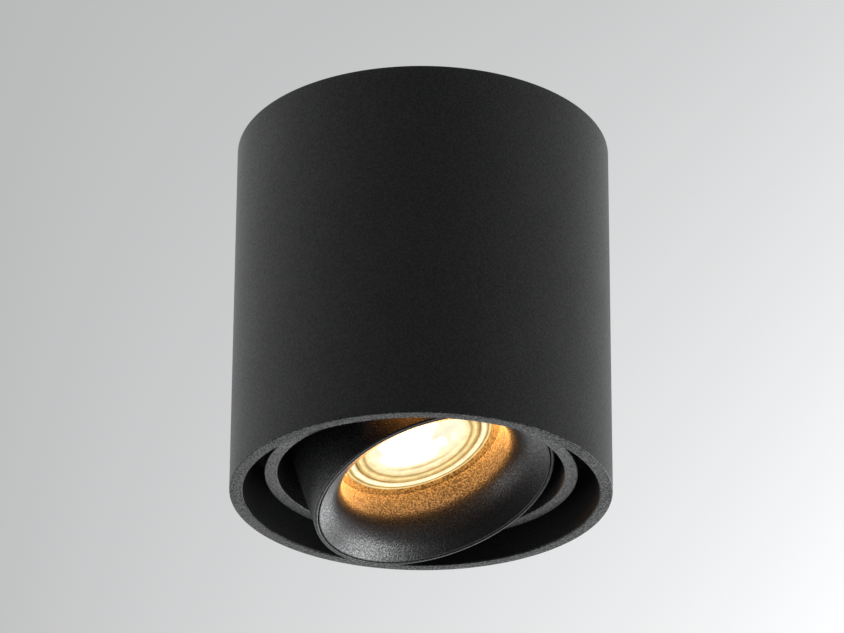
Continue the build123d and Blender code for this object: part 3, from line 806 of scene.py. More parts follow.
@dataclass(frozen=True)
class LitFrontGlass:
    """The pressed front glass with the lamp lit: clear in the middle, bright and dark rings round it.

    Each ring is (radius, red, green, blue, how far it hides what is behind).
    """

    name: str = "lit front glass"
    outer: float = 22.0 * MM
    rings: tuple = (
        (0.0, 0.12, 0.11, 0.09, 0.0), (11.0, 0.14, 0.12, 0.09, 0.05), (12.7, 0.95, 0.80, 0.52, 0.7),
        (13.9, 1.10, 0.86, 0.46, 0.95), (14.8, 0.52, 0.34, 0.11, 1.0), (15.3, 0.90, 0.66, 0.29, 1.0),
        (15.9, 1.15, 0.90, 0.44, 1.0), (16.5, 0.66, 0.44, 0.15, 1.0), (17.2, 0.24, 0.12, 0.02, 1.0),
        (17.8, 1.15, 0.96, 0.58, 1.0), (18.4, 1.30, 1.16, 0.80, 1.0), (18.9, 1.00, 0.80, 0.40, 1.0),
        (19.4, 0.42, 0.26, 0.07, 1.0), (20.0, 1.08, 0.80, 0.36, 1.0), (20.6, 0.62, 0.36, 0.10, 1.0),
        (21.0, 1.0, 0.42, 0.09, 1.0))
    wobble: float = 0.35 * MM
    side: float = 20.8 * MM
    shoulder: float = 3.8 * MM
    side_glow: float = 9.0
    breakup: float = 3.2 * MM
    sway: float = 9 * MM
    ripple: float = 1.6 * MM
    gloss: tuple = (1.0, 0.82, 0.55)

    def material(self) -> bpy.types.Material:
        """Rings by the distance from the lamp's axis, wobbled a little by noise, under a sharp gloss.

        Returns:
            The material.
        """
        r = Recipe(self.name)
        place = r.head_place()
        radius = r.from_axis(place)
        beside = r.math("MULTIPLY", r.between(radius, self.side, self.side + 0.15 * MM, 0, 1),
                        r.between(r.height(place), self.shoulder, self.shoulder + 0.4 * MM, 0, 1))
        mottle = r.between(r.noise(self.breakup, 4, place, 0.62), 0.32, 0.68, 0.86, 1.16)
        strength = r.math("MULTIPLY", mottle, r.between(beside, 0, 1, 1, self.side_glow))
        slow = r.math("SUBTRACT", r.noise(self.sway, 3, place), 0.5)
        radius = r.math("ADD", radius, r.math("MULTIPLY", slow, 2 * self.wobble))
        share = r.math("DIVIDE", radius, self.outer, clamp=True)
        colors, hiding = (r.ramp(share, [(ring[0] * MM / self.outer, color(ring)) for ring in self.rings])
                          for color in (lambda ring: ring[1:4], lambda ring: ring[4:] * 3))
        clear, black = (r.add("BsdfTransparent", {"Color": (*(level,) * 3, 1)}) for level in (1, 0))
        glow = r.add("Emission", {"Color": colors, "Strength": strength})
        film = r.add("MixShader", {0: hiding, 1: clear.outputs[0], 2: black.outputs[0]})
        lit = r.add("AddShader", {0: film.outputs[0], 1: glow.outputs[0]})
        ripple = r.bump(r.noise(self.ripple, 1), 0.35, 0.05 * MM)
        gloss = r.add("BsdfGlossy", {"Color": (*self.gloss, 1), "Roughness": 0.05, "Normal": ripple})
        return r.finish(r.add("MixShader", {0: r.sheen(ripple), 1: lit.outputs[0], 2: gloss.outputs[0]}))


@dataclass(frozen=True)
class LitBowl:
    """The lamp's metallised bowl with its light on: facets lit by a painted reflection of the filament, warm
    light through the back.
    """

    name: str = "lit reflector"
    # Colours of the painted filament reflection, brightest first.
    hot: tuple = (1.0, 0.96, 0.86)
    cream: tuple = (1.0, 0.93, 0.70)
    leak: tuple = (1.0, 0.40, 0.10)
    brightest: float = 2.6
    dimmest: float = 0.80
    leaking: float = 2.0
    band: float = 6.6 * MM
    band_shift: float = 1.2 * MM
    band_way: tuple = (0.86, 0.51, 0.0)
    blotch: float = 4.5 * MM
    mirror: tuple = (0.10, 0.095, 0.085)

    def material(self) -> bpy.types.Material:
        """Facets lit in a band across the bowl, a painted reflection of the filament; the outer side leaks
        orange.

        Returns:
            The material.
        """
        r = Recipe(self.name)
        place = r.head_place()
        across = r.math("ABSOLUTE", r.math("SUBTRACT", r.dot(place, self.band_way), self.band_shift))
        facet, inside = (r.add("Attribute", attribute_name=name).outputs["Fac"]
                         for name in ("facet", "inside"))
        blotch = r.math("MULTIPLY", r.math("SUBTRACT", r.noise(self.blotch, 2, place), 0.5), 0.9)
        # The white band is a painted reflection of the filament in the facets.
        filament_reflection = r.math("ADD", r.between(across, 0.75 * self.band, 1.3 * self.band, 1, 0), blotch)
        filament_reflection = r.math("ADD", filament_reflection, r.math("MULTIPLY", r.math("SUBTRACT", facet, 0.5), 0.5), clamp=True)
        strength = r.between(filament_reflection, 0, 1, self.dimmest, self.brightest)
        hot = r.add("Emission", {"Color": r.blend_colors(filament_reflection, self.cream, self.hot), "Strength": strength})
        leak = r.add("Emission", {"Color": (*self.leak, 1), "Strength": self.leaking})
        light = r.add("MixShader", {0: inside, 1: leak.outputs[0], 2: hot.outputs[0]})
        mirror = r.add("BsdfPrincipled", {
            "Base Color": (*self.mirror, 1), "Metallic": 1.0, "Roughness": 0.16,
            "Normal": r.bump(r.noise(1.2 * MM, 2), 0.2, 0.03 * MM)})
        return r.finish(r.add("AddShader", {0: light.outputs[0], 1: mirror.outputs[0]}))


@dataclass(frozen=True)
class Glow:
    """Something so hot that only its light is seen."""

    name: str
    color: tuple
    strength: float

    def material(self) -> bpy.types.Material:
        """Emission with a faint mottle over a dark metal.

        Returns:
            The material.
        """
        r = Recipe(self.name)
        mottle = r.between(r.noise(0.8 * MM, 2), 0.3, 0.7, 0.85 * self.strength, self.strength)
        light = r.add("Emission", {"Color": (*self.color, 1), "Strength": mottle})
        wire = r.add("BsdfPrincipled", {
            "Base Color": (0.4, 0.38, 0.35, 1), "Metallic": 1.0, "Roughness": 0.4})
        return r.finish(r.add("AddShader", {0: light.outputs[0], 1: wire.outputs[0]}))


class Finish(Enum):
    """Every finish of the light, with the material slot that it stands for."""

    POWDER_COAT = ("powder_coat_black", PowderCoat())
    TUBE_COAT = ("powder_coat_black", TubeCoat("black powder coat, tube"))
    # Darker than the tube's coat: painted shade on the head.
    SHADED_HEAD_COAT = ("powder_coat_black", HeadCoat("black powder coat, head"))
    # The same black coat, made lighter and glossier on the swivel ring: painted light on its downward face.
    LIT_RING_COAT = ("powder_coat_black", PowderCoat(
        "black powder coat, cast ring", (0.010, 0.010, 0.0108), (0.034, 0.034, 0.036),
        brightest=1.65, dullest=0.55, strength=1.3))
    ZINC = ("zinc_plated_steel", Metal("zinc plate", (0.60, 0.61, 0.62), (0.50, 0.50, 0.48)))
    SPRING = ("spring_steel", Metal("oiled spring steel", (0.33, 0.33, 0.34), (0.22, 0.21, 0.20), 0.3, 0.5))
    BRASS = ("brass", Metal("turned brass", (0.74, 0.56, 0.27), (0.60, 0.42, 0.18)))
    NYLON = ("white_nylon", Moulded("natural nylon", (0.80, 0.79, 0.74), (0.72, 0.70, 0.64), 0.45,
                                    0.5 * MM, 0.01 * MM, 0.15))
    RUBBER = ("black_rubber", Moulded("black rubber", (0.018, 0.018, 0.018), (0.03, 0.03, 0.03), 0.62,
                                      0.3 * MM, 0.02 * MM))
    CERAMIC = ("white_ceramic", Moulded("unglazed ceramic", (0.82, 0.80, 0.75), (0.74, 0.71, 0.65), 0.7,
                                        0.25 * MM, 0.03 * MM))
    WIRE = ("wire_insulation", WireSheath("silicone sleeve", (0.78, 0.75, 0.68), (0.70, 0.67, 0.60), False))
    EARTH = ("earth_insulation", WireSheath("earth sleeve", (0.10, 0.32, 0.05), (0.80, 0.66, 0.05), True))
    LENS = ("clear_glass", LitFrontGlass())
    CAPSULE = ("clear_glass", ClearGlass("lit capsule glass", (1.0, 0.98, 0.92), 6.0, (1.0, 0.86, 0.62)))
    BOWL = ("reflector_coating", LitBowl())
    FILAMENT = ("filament", Glow("hot filament", (1.0, 0.80, 0.50), 40.0))


class Dresser:
    """Gives pieces and CAD nodes their finishes, and keeps one material for each."""

    def __init__(self) -> None:
        """Starts with no material made."""
        self.made: dict[Finish, bpy.types.Material] = {}

    def material(self, finish: Finish) -> bpy.types.Material:
        """The finish's material, made the first time it is asked for.

        Args:
            finish: The finish.

        Returns:
            Its material.
        """
        if finish not in self.made:
            self.made[finish] = finish.value[1].material()
        return self.made[finish]

    def dress_nodes(self, finish: Finish, *names: str) -> None:
        """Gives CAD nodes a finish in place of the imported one.

        Args:
            finish: The finish.
            names: The nodes.
        """
        for name in names:
            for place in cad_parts[name].material_slots:
                place.material = self.material(finish)
            log.info("node %s: %s", name, finish.value[1].name)

    def fit(self, piece: bpy.types.Object, finish: Finish, body: str, *nodes: str) -> bpy.types.Object:
        """Gives a new piece its finish and slot, and sets it on its body in place of its nodes.

        Args:
            piece: The piece.
            finish: Its finish.
            body: The body that it rides on.
            nodes: The CAD nodes that it stands for.

        Returns:
            The piece.
        """
        piece.data.materials.append(self.material(finish))
        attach(piece, body)
        if nodes:
            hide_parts(*nodes)
        log.info("piece %s on %s: %s", piece.name, body, finish.value[1].name)
        return piece


# ---------------------------------------------------------------- housing


@dataclass
class Housing:
    """The outer tube with its softened rim and the two holes of its set screws."""

    outer_radius: float = 50 * MM
    bore_radius: float = 46.5 * MM
    height: float = 100 * MM
    edge: float = 0.35 * MM
    inner_chamfer: float = 0.25 * MM
    hole_radius: float = 2.1 * MM
    hole_depth: float = 8 * MM
    hole_direction: float = 29
    columns: int = 256
    window: int = 4
    patch_rings: int = 4
    lower_rows: int = 12

    def levels(self) -> np.ndarray:
        """Heights of the rows of points down a wall, close together round the screw holes.

        Returns:
            The heights, from the top down.
        """
        reach = self.window * 2 * pi * self.outer_radius / self.columns
        near = -self.hole_depth + np.linspace(reach, -reach, 2 * self.window + 1)
        return np.r_[near, np.linspace(near[-1], -self.height, self.lower_rows + 2)[1:-1]]

    def outline(self) -> tuple[np.ndarray, np.ndarray, np.ndarray]:
        """The wall's outline, as outer wall, rim, and inner wall with the top.

        Returns:
            Three (n, 2) arrays that follow each other round the closed outline.
        """
        levels = self.levels()
        out, bore, low = self.outer_radius, self.bore_radius, -self.height
        wall = np.stack([np.full(len(levels), out), levels], 1)
        inner = np.stack([np.full(len(levels), bore), levels], 1)[::-1]
        c = self.inner_chamfer
        rim = softened([(out, levels[-1]), (out, low), (bore + c, low), (bore, low + c), (bore, levels[-1])],
                       [0, self.edge, 0.15 * MM, 0.2 * MM, 0], 5, loop=False)[1:-1]
        top = softened([(bore, levels[0]), (bore, 0), (out, 0), (out, levels[0])],
                       [0, self.edge, self.edge, 0], 4, loop=False)[1:-1]
        return wall, rim, np.vstack([inner, top])

    def skin(self) -> Skin:
        """The whole wall: a turned grid with two windows, each filled by a holed patch.

        Returns:
            The wall, whose patches only touch their windows' borders.
        """
        wall, rim, rest = self.outline()
        skin = turned(np.vstack([wall, rim, rest]), self.columns)
        row, column = skin.quads // self.columns, skin.quads % self.columns
        wide = 2 * self.window
        inner_top = 2 * len(wall) + len(rim) - 1
        shift = round(self.hole_direction / 360 * self.columns)
        holes = (shift, shift + self.columns // 2)
        keep = np.ones(len(skin.quads), bool)
        for hole in holes:
            beside = (column - hole + self.window) % self.columns <= wide
            inner = (row >= inner_top - wide) & (row <= inner_top)
            keep &= ~((beside & (row <= wide)).all(axis=1) | (beside & inner).all(axis=1))
        holed = Skin(skin.points, skin.quads[keep])
        for hole in holes:
            holed = holed.joined(self.plug(hole))
        return holed

    def plug(self, column: int) -> Skin:
        """The two holed patches of one screw hole and the tunnel between them.

        A patch's point (s, i) lies at (1 - s) c_i + s b_i, between the hole's circle c and the
        window's border b, both as an angle round the wall and a height on it. s falls from 1 to 0
        on the outer wall and rises from 0 to 1 on the inner one.

        Args:
            column: The grid's column at the middle of the hole.

        Returns:
            The patches and the tunnel, facing outwards.
        """
        step = 2 * pi / self.columns
        angle = column * step
        levels = self.levels()[:2 * self.window + 1]
        side = np.arange(-self.window, self.window + 1)
        up, down, low, high = side[:-1], side[:0:-1], side[0], side[-1]
        corners = ((up, low), (high, up), (down, high), (low, down))
        border = np.vstack([np.stack(np.broadcast_arrays(*pair), 1) for pair in corners])
        spread = border[:, 0] * step
        height = np.interp(border[:, 1], side, levels[::-1])
        turn = np.arctan2(height + self.hole_depth, spread * self.outer_radius)
        share = np.linspace(1, 0, self.patch_rings + 1)[:, None]
        rings = []
        for radius, s in ((self.outer_radius, share), (self.bore_radius, share[::-1])):
            a = angle + (1 - s) * self.hole_radius * np.cos(turn) / radius + s * spread
            h = (1 - s) * (self.hole_radius * np.sin(turn) - self.hole_depth) + s * height
            rings.append(ring_points(radius, a, h))
        points = np.concatenate(rings).reshape(-1, 3)
        quads = grid_quads(2 * len(share), len(border), False, True)
        a, b, c = points[quads[0, [0, 1, 3]]]
        outwards = np.cross(b - a, c - a) @ [cos(angle), sin(angle), 0] > 0
        return Skin(points, quads if outwards else quads[:, ::-1])

    def build(self, dresser: Dresser) -> None:
        """Makes the housing.

        Args:
            dresser: What gives pieces and nodes their finishes.
        """
        piece = make_piece("housing_tube", self.skin(), 40)
        weld(piece)
        dresser.fit(piece, Finish.TUBE_COAT, "fixture", "housing")


# ---------------------------------------------------------------- ceiling mount


@dataclass
class CeilingMount:
    """The plate, its lugs and set screws, the grommet, and the mains connection.

    The boot is given by (radius, depth below the plate) in millimetres.
    """

    plate_thickness: float = 1.5 * MM
    grommet_y: float = -24 * MM
    grommet_bore: float = 4.5 * MM
    grommet_hole: float = 7.95 * MM
    grommet_flange: float = 10.5 * MM
    boot: tuple = ((6.5, 2.0), (6.2, 3.0), (6.45, 3.4), (6.0, 4.2),
                   (6.15, 4.7), (5.7, 5.5), (5.8, 6.0), (5.3, 7.0))
    screw_radius: float = 2 * MM
    screw_length: float = 8 * MM
    screw_sink: float = 0.3 * MM
    screw_depth: float = 8 * MM
    housing_radius: float = 50 * MM
    socket_radius: float = 1.2 * MM
    socket_depth: float = 1.5 * MM
    socket_tip: float = 0.3 * MM
    thread_pitch: float = 0.7 * MM
    thread_depth: float = 0.28 * MM
    thread_fade: float = 0.8 * MM
    screw_directions: tuple = (29, 209)

    def grommet(self) -> Skin:
        """The rubber bush: plug, flange and a tapering boot with soft rings, turned about its axis.

        Returns:
            The bush in its place.
        """
        t, bore = self.plate_thickness, self.grommet_bore
        flange, hole = self.grommet_flange, self.grommet_hole
        boot = [(radius * MM, -t - depth * MM) for radius, depth in self.boot]
        end = boot[-1][1]
        plug = [(bore, 0), (hole, 0), (hole, -t), (flange, -t), (flange, boot[0][1])]
        corners = plug + boot + [(bore, end)]
        cuts = [0.2 * MM, 0.3 * MM, 0, 0.5 * MM, 0.6 * MM] + [0.3 * MM] * (len(boot) + 1)
        return turned(softened(corners, cuts), 96).moved((0, self.grommet_y, 0))

    def set_screw(self, direction: float) -> Skin:
        """A threaded set screw with a hexagon socket.

        Its thread is r = R - d (1 + cos(2 pi z / p - a)) / 2, a fold that climbs one pitch p a turn
        and fades out into the core at both ends.

        Args:
            direction: The way it points out of the housing.

        Returns:
            The screw in its place.
        """
        end = self.housing_radius - self.screw_sink
        start, floor = end - self.screw_length, end - self.socket_depth
        a = np.arange(48) * 2 * pi / 48
        z = np.linspace(start, end, 110)[:, None]
        fade = np.clip(np.minimum(z - start, end - z) / self.thread_fade, 0, 1)
        fold = (1 + np.cos(2 * pi * z / self.thread_pitch - a)) / 2
        thread = ring_points(self.screw_radius - self.thread_depth * (fold * fade + 1 - fade), a, z)
        side = hexagon(self.socket_radius, a)
        socket = [ring_points(share * side, a, level)[None] for share, level in (
            (1.05, end), (1, end - 0.1 * MM), (1, floor), (0.02, floor - self.socket_tip))]
        point = thread[:1] * np.array([0.02, 0.02, 1])
        rings = np.concatenate([point, thread] + socket)
        skin = capped(rings, (0, 0, start), (0, 0, floor - self.socket_tip))
        return laid_outward(skin, direction, -self.screw_depth)

    def build(self, dresser: Dresser) -> None:
        """Makes the grommet and the set screws, and dresses the plate and the mains connection.

        Args:
            dresser: What gives pieces and nodes their finishes.
        """
        dresser.fit(make_piece("grommet", self.grommet()), Finish.RUBBER, "fixture", "cable_grommet")
        first, second = (self.set_screw(d) for d in self.screw_directions)
        dresser.fit(make_piece("set_screws", first.joined(second)), Finish.SPRING, "fixture", "grub_screws")
        dresser.dress_nodes(Finish.ZINC, "ceiling_plate", "mounting_lugs", "terminal_screws", "block_screw",
                            "earth_screw")
        dresser.dress_nodes(Finish.NYLON, "terminal_block")
        dresser.dress_nodes(Finish.BRASS, "terminal_sleeves", "earth_eyelet")


# ---------------------------------------------------------------- wires


@dataclass
class Wiring:
    """The wires inside, drawn as they lie at rest; in the real light they bend as the ring swivels and the
    head tilts.
    """

    radius: float = 0.9 * MM
    half_spacing: float = 1.6 * MM
    meeting_depth: float = 13 * MM
    entry_height: float = -7.5 * MM
    block_side: float = 12 * MM
    insertion: float = 5 * MM
    way_spacing: float = 8 * MM
    slope: float = 0.125
    holder_back: float = 62.76 * MM
    lead_length: float = 13 * MM
    lead_bend: float = 0.45
    plate_thickness: float = 1.5 * MM
    eyelet_gap: float = 0.7 * MM
    earth_y: float = 4 * MM
    eyelet_x: float = -12.5 * MM

    def feed(self) -> Skin:
        """The two wires from the block's second and third ways to the light's axis.

        Returns:
            Both wires.
        """
        level, entry, block = -self.meeting_depth, self.entry_height, self.block_side
        wires = []
        for side, x in ((1, self.way_spacing), (-1, 2 * self.way_spacing)):
            y = side * self.half_spacing
            wires.append(self.wire([
                (0, y, level), (0.5 * x, y, level + 0.5 * self.slope * x), (x, y, level + self.slope * x),
                (x, block - self.insertion / 2, entry), (x, block, entry),
                (x, block + self.insertion, entry)]))
        return wires[0].joined(wires[1])

    def wire(self, corners: list[tuple[float, float, float]]) -> Skin:
        """A round wire along the smooth path of its control points."""
        return tube_along(smooth_path(corners, 12), self.radius)

    def holder_leads(self) -> Skin:
        """The two wires from the axis to the back of the lampholder.

        Returns:
            Both wires.
        """
        level = -self.meeting_depth
        wires = []
        for side in (-1, 1):
            y = side * self.half_spacing
            pivot = np.array([0, y, HEAD.pivot_height])
            low = pivot - self.holder_back * HEAD.shine()
            high = low - self.lead_length * HEAD.shine()
            x = high[0]
            wires.append(self.wire([
                tuple(low), tuple(low + self.lead_bend * (high - low)), (x, y, level + self.slope * x),
                (0.5 * x, y, level + 0.5 * self.slope * x), (0, y, level)]))
        return wires[0].joined(wires[1])

    def earth(self) -> Skin:
        """The short earth wire from the first way to the eyelet's barrel.

        Returns:
            The wire.
        """
        y, entry = self.earth_y, self.entry_height
        barrel = -self.plate_thickness - self.radius - self.eyelet_gap
        return self.wire([
            (0, self.block_side + self.insertion, entry), (0, self.block_side, entry), (0, y, entry),
            (0.6 * self.eyelet_x, y, barrel), (0.8 * self.eyelet_x, y, barrel), (self.eyelet_x, y, barrel)])

    def build(self, dresser: Dresser) -> None:
        """Makes the wires. Two pairs meet on the axis.

        Args:
            dresser: What gives pieces and nodes their finishes.
        """
        feed = make_piece("mains_leads", self.feed())
        leads = make_piece("holder_leads", self.holder_leads())
        for piece in (feed, leads):
            piece.data.materials.append(dresser.material(Finish.WIRE))
        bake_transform(feed)
        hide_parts("feed_wires")
        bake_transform(leads)
        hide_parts("lampholder_wires")
        dresser.fit(make_piece("earth_lead", self.earth()), Finish.EARTH, "fixture", "earth_wire")


# ---------------------------------------------------------------- swivel ring


@dataclass
class SwivelRing:
    """The inner ring that turns in the housing's mouth, and what it turns on."""

    outer: float = 41.0 * MM
    inner: float = 37.5 * MM
    relief: float = 39.4 * MM
    flange: float = 46.1 * MM
    bottom: float = -94.7 * MM
    step: float = -80.9 * MM
    flange_bottom: float = -79.0 * MM
    top: float = -77.0 * MM
    edge: float = 0.4 * MM
    nib_width: float = 3.0 * MM
    nib_start: float = 40.2 * MM
    nib_end: float = 42.0 * MM
    nib_height: float = 5.0 * MM
    nib_squareness: float = 0.35
    inner_edge: float = 0.2 * MM

    def ring(self) -> Skin:
        """The ring's wall with its relief, step and flange, all turned, and the stop nib.

        Returns:
            The ring and its nib.
        """
        corners = [(self.inner, self.bottom), (self.outer, self.bottom), (self.outer, self.flange_bottom),
                   (self.flange, self.flange_bottom), (self.flange, self.top), (self.relief, self.top),
                   (self.relief, self.step), (self.inner, self.step)]
        cuts = [self.edge] * 2 + [self.inner_edge] * 6
        return turned(softened(corners, cuts, 5), 256).joined(self.nib())

    def nib(self) -> Skin:
        """The nib on the flange: a rounded rectangle carried up and drawn in at its top.

        Its outline is (a sgn(c) |c|^p, b sgn(s) |s|^p), with c and s the cosine and sine of the
        angle round it, a and b its half sizes, and p below one, which squares an ellipse up.

        Returns:
            The nib.
        """
        angle = np.arange(40) * 2 * pi / 40
        c, s = np.cos(angle), np.sin(angle)
        x = self.nib_width / 2 * np.sign(c) * np.abs(c) ** self.nib_squareness
        y = (self.nib_end - self.nib_start) / 2 * np.sign(s) * np.abs(s) ** self.nib_squareness
        middle = (self.nib_start + self.nib_end) / 2
        foot, top = self.top - 0.2 * MM, self.top + self.nib_height
        levels = ((1.0, foot), (1.0, top - 0.4 * MM), (0.93, top - 0.1 * MM), (0.8, top))
        rings = np.stack([np.stack([share * x, middle + share * y, np.full(40, z)], 1)
                          for share, z in levels])
        return capped(rings, (0, middle, foot), (0, middle, top))

    def build(self, dresser: Dresser) -> None:
        """Makes the ring and dresses its bearings.

        Args:
            dresser: What gives pieces and nodes their finishes.
        """
        # The ring wears the lightened coat: painted light on its lower face.
        dresser.fit(make_piece("swivel_collar", self.ring(), 40), Finish.LIT_RING_COAT, "ring", "swivel_ring")
        dresser.dress_nodes(Finish.POWDER_COAT, "carrier_ring")
        dresser.dress_nodes(Finish.NYLON, "glide_washer", "pivot_bushes")
        dresser.dress_nodes(Finish.SPRING, "retaining_ring", "stop_pin")


# ---------------------------------------------------------------- tilting head


@dataclass
class HeadCan:
    """The short can that tilts in the ring, with the screws it tilts on."""

    outer: float = 32.7 * MM
    wall: float = 1.0 * MM
    rim: float = -12.74 * MM
    top: float = 21.26 * MM
    edge: float = 0.4 * MM
    boss_radius: float = 4.0 * MM
    boss_length: float = 3.5 * MM
    screw_head_start: float = 41.2 * MM
    screw_head_end: float = 43.4 * MM
    screw_head_radius: float = 3.6 * MM
    shoulder_radius: float = 2.5 * MM
    shoulder_start: float = 32.8 * MM
    thread_radius: float = 2.0 * MM
    thread_start: float = 28.6 * MM
    socket_radius: float = 1.5 * MM
    socket_depth: float = 1.4 * MM
    socket_land: float = 2.2 * MM

    def can(self) -> Skin:
        """The can's wall, its two edges rounded over, and the two inner bosses.

        Returns:
            The can, leant as it rests.
        """
        inside = self.outer - self.wall
        skin = turned(softened(
            [(inside, self.rim), (self.outer, self.rim), (self.outer, self.top), (inside, self.top)],
            [self.edge, self.edge, 0.2 * MM, 0.2 * MM], 5), 224)
        for direction in (90, 270):
            boss = rounded_bar(self.boss_radius, inside - self.boss_length, inside + 0.5 * MM, 0.3 * MM)
            skin = skin.joined(laid_outward(boss, direction, 0))
        return skin.leant()

    def screw(self, direction: float) -> Skin:
        """A shoulder screw: thread end, shoulder and a rounded head with a hexagon socket.

        Its rings are circles of the outline's radii, and hexagons in the socket.

        Args:
            direction: The way it points out of the can.

        Returns:
            The screw, leant as it rests.
        """
        a = np.arange(60) * 2 * pi / 60
        end, floor = self.screw_head_end, self.screw_head_end - self.socket_depth
        outline = softened(
            [(0, self.thread_start), (self.thread_radius, self.thread_start),
             (self.thread_radius, self.shoulder_start), (self.shoulder_radius, self.shoulder_start),
             (self.shoulder_radius, self.screw_head_start), (self.screw_head_radius, self.screw_head_start),
             (self.screw_head_radius, end), (self.socket_land, end)],
            [0, 0.3 * MM, 0.1 * MM, 0.15 * MM, 0.1 * MM, 0.2 * MM, 0.7 * MM, 0], 4, loop=False)[1:]
        side = hexagon(self.socket_radius, a)
        socket = [ring_points(share * side, a, level)[None] for share, level in (
            (1.08, end), (1, end - 0.12 * MM), (1, floor), (0.5, floor - 0.3 * MM))]
        wall = ring_points(outline[:, :1], a, outline[:, 1:])
        skin = capped(np.concatenate([wall] + socket), (0, 0, self.thread_start), (0, 0, floor - 0.5 * MM))
        return laid_outward(skin, direction, 0).leant()

    def build(self, dresser: Dresser) -> None:
        """Makes the can and its pivot screws, and dresses their washers.

        Args:
            dresser: What gives pieces and nodes their finishes.
        """
        dresser.fit(make_piece("head_shell", self.can(), 40), Finish.SHADED_HEAD_COAT, "head", "head_can")
        screws = self.screw(90).joined(self.screw(270))
        dresser.fit(make_piece("tilt_screws", screws, 30), Finish.ZINC, "head", "pivot_screws")
        dresser.dress_nodes(Finish.POWDER_COAT, "can_back")
        dresser.dress_nodes(Finish.ZINC, "pivot_spacers")
        dresser.dress_nodes(Finish.SPRING, "friction_washers")


@dataclass
class GlareBaffle:
    """The flared insert round the lamp: a trumpet with a short outer skirt and leaf springs."""

    rim: float = -12.74 * MM
    throat: float = 22.4 * MM
    wall: float = 1.0 * MM
    bend: float = 12.0 * MM
    slope: float = 60
    lip_outside: float = 31.5 * MM
    lip_recess: float = 0.12 * MM
    lip_land: float = 0.3 * MM
    throat_depth: float = 19.6 * MM
    skirt_wall: float = 0.8 * MM
    skirt_height: float = 6.0 * MM
    end_edge: float = 0.25 * MM

    def trumpet(self) -> Skin:
        """The insert turned from one closed outline.

        The face runs up the throat, round an arc c - R (cos q, sin q) with q from 0 to the slope,
        then straight to the lip. The back follows one wall behind it down to the skirt.

        Returns:
            The insert, leant as it rests.
        """
        q = radians(self.slope)
        lip, land = self.rim + self.lip_recess, self.lip_outside - self.lip_land
        end, foot = self.rim + self.throat_depth, self.rim + self.skirt_height
        inside, centre = self.lip_outside - self.skirt_wall, self.throat + self.bend
        level = lip + (land - centre + self.bend * cos(q)) / tan(q) + self.bend * sin(q)

        turn = np.linspace(0, q, 28)
        arc, back = (np.stack([centre - radius * np.cos(turn), level - radius * np.sin(turn)], 1)
                     for radius in (self.bend, self.bend - self.wall))
        corner = back[-1] + (inside - back[-1, 0]) * np.array([1, -1 / tan(q)])
        face = np.stack([np.full(8, self.throat), np.linspace(end - self.end_edge, level, 8)], 1)[:-1]
        cone = np.linspace(arc[-1], (land, lip), 8)[1:-1]
        lip_turn = softened([tuple(cone[-1]), (land, lip), (self.lip_outside, lip), (self.lip_outside, foot)],
                            [0, 0.12 * MM, 0.15 * MM, 0], 4, loop=False)[1:-1]
        skirt = softened([(self.lip_outside, foot - 2 * MM), (self.lip_outside, foot), (inside, foot),
                          (inside, corner[1] + 0.5 * MM)], [0, 0.15 * MM, 0.15 * MM, 0], 3, loop=False)
        throat_end = softened([(self.throat + self.wall, level), (self.throat + self.wall, end),
                               (self.throat, end), (self.throat, end - self.end_edge)],
                              [0, 0.3 * MM, 0.2 * MM, 0], 3, loop=False)[1:-1]
        outline = np.vstack([face, arc, cone, lip_turn, skirt, [corner], back[::-1], throat_end])
        return turned(outline, 256).leant()

    def build(self, dresser: Dresser) -> None:
        """Makes the insert and dresses its springs.

        Args:
            dresser: What gives pieces and nodes their finishes.
        """
        insert = make_piece("flared_insert", self.trumpet(), 40)
        dresser.fit(insert, Finish.SHADED_HEAD_COAT, "baffle", "glare_baffle")
        dresser.dress_nodes(Finish.SPRING, "baffle_springs")


@dataclass
class LampHolder:
    """The ceramic holder on its bent strap, whose CAD pieces stay as they are."""

    steel: tuple = ("lampholder_bracket", "bracket_screws", "lampholder_screws")
    ceramic: tuple = ("lampholder",)
    brass: tuple = ("lampholder_contacts",)

    def build(self, dresser: Dresser) -> None:
        """Dresses the strap and the screws, the holder, and its contacts.

        Args:
            dresser: What gives pieces and nodes their finishes.
        """
        dresser.dress_nodes(Finish.ZINC, *self.steel)
        dresser.dress_nodes(Finish.CERAMIC, *self.ceramic)
        dresser.dress_nodes(Finish.BRASS, *self.brass)


# ---------------------------------------------------------------- lamp


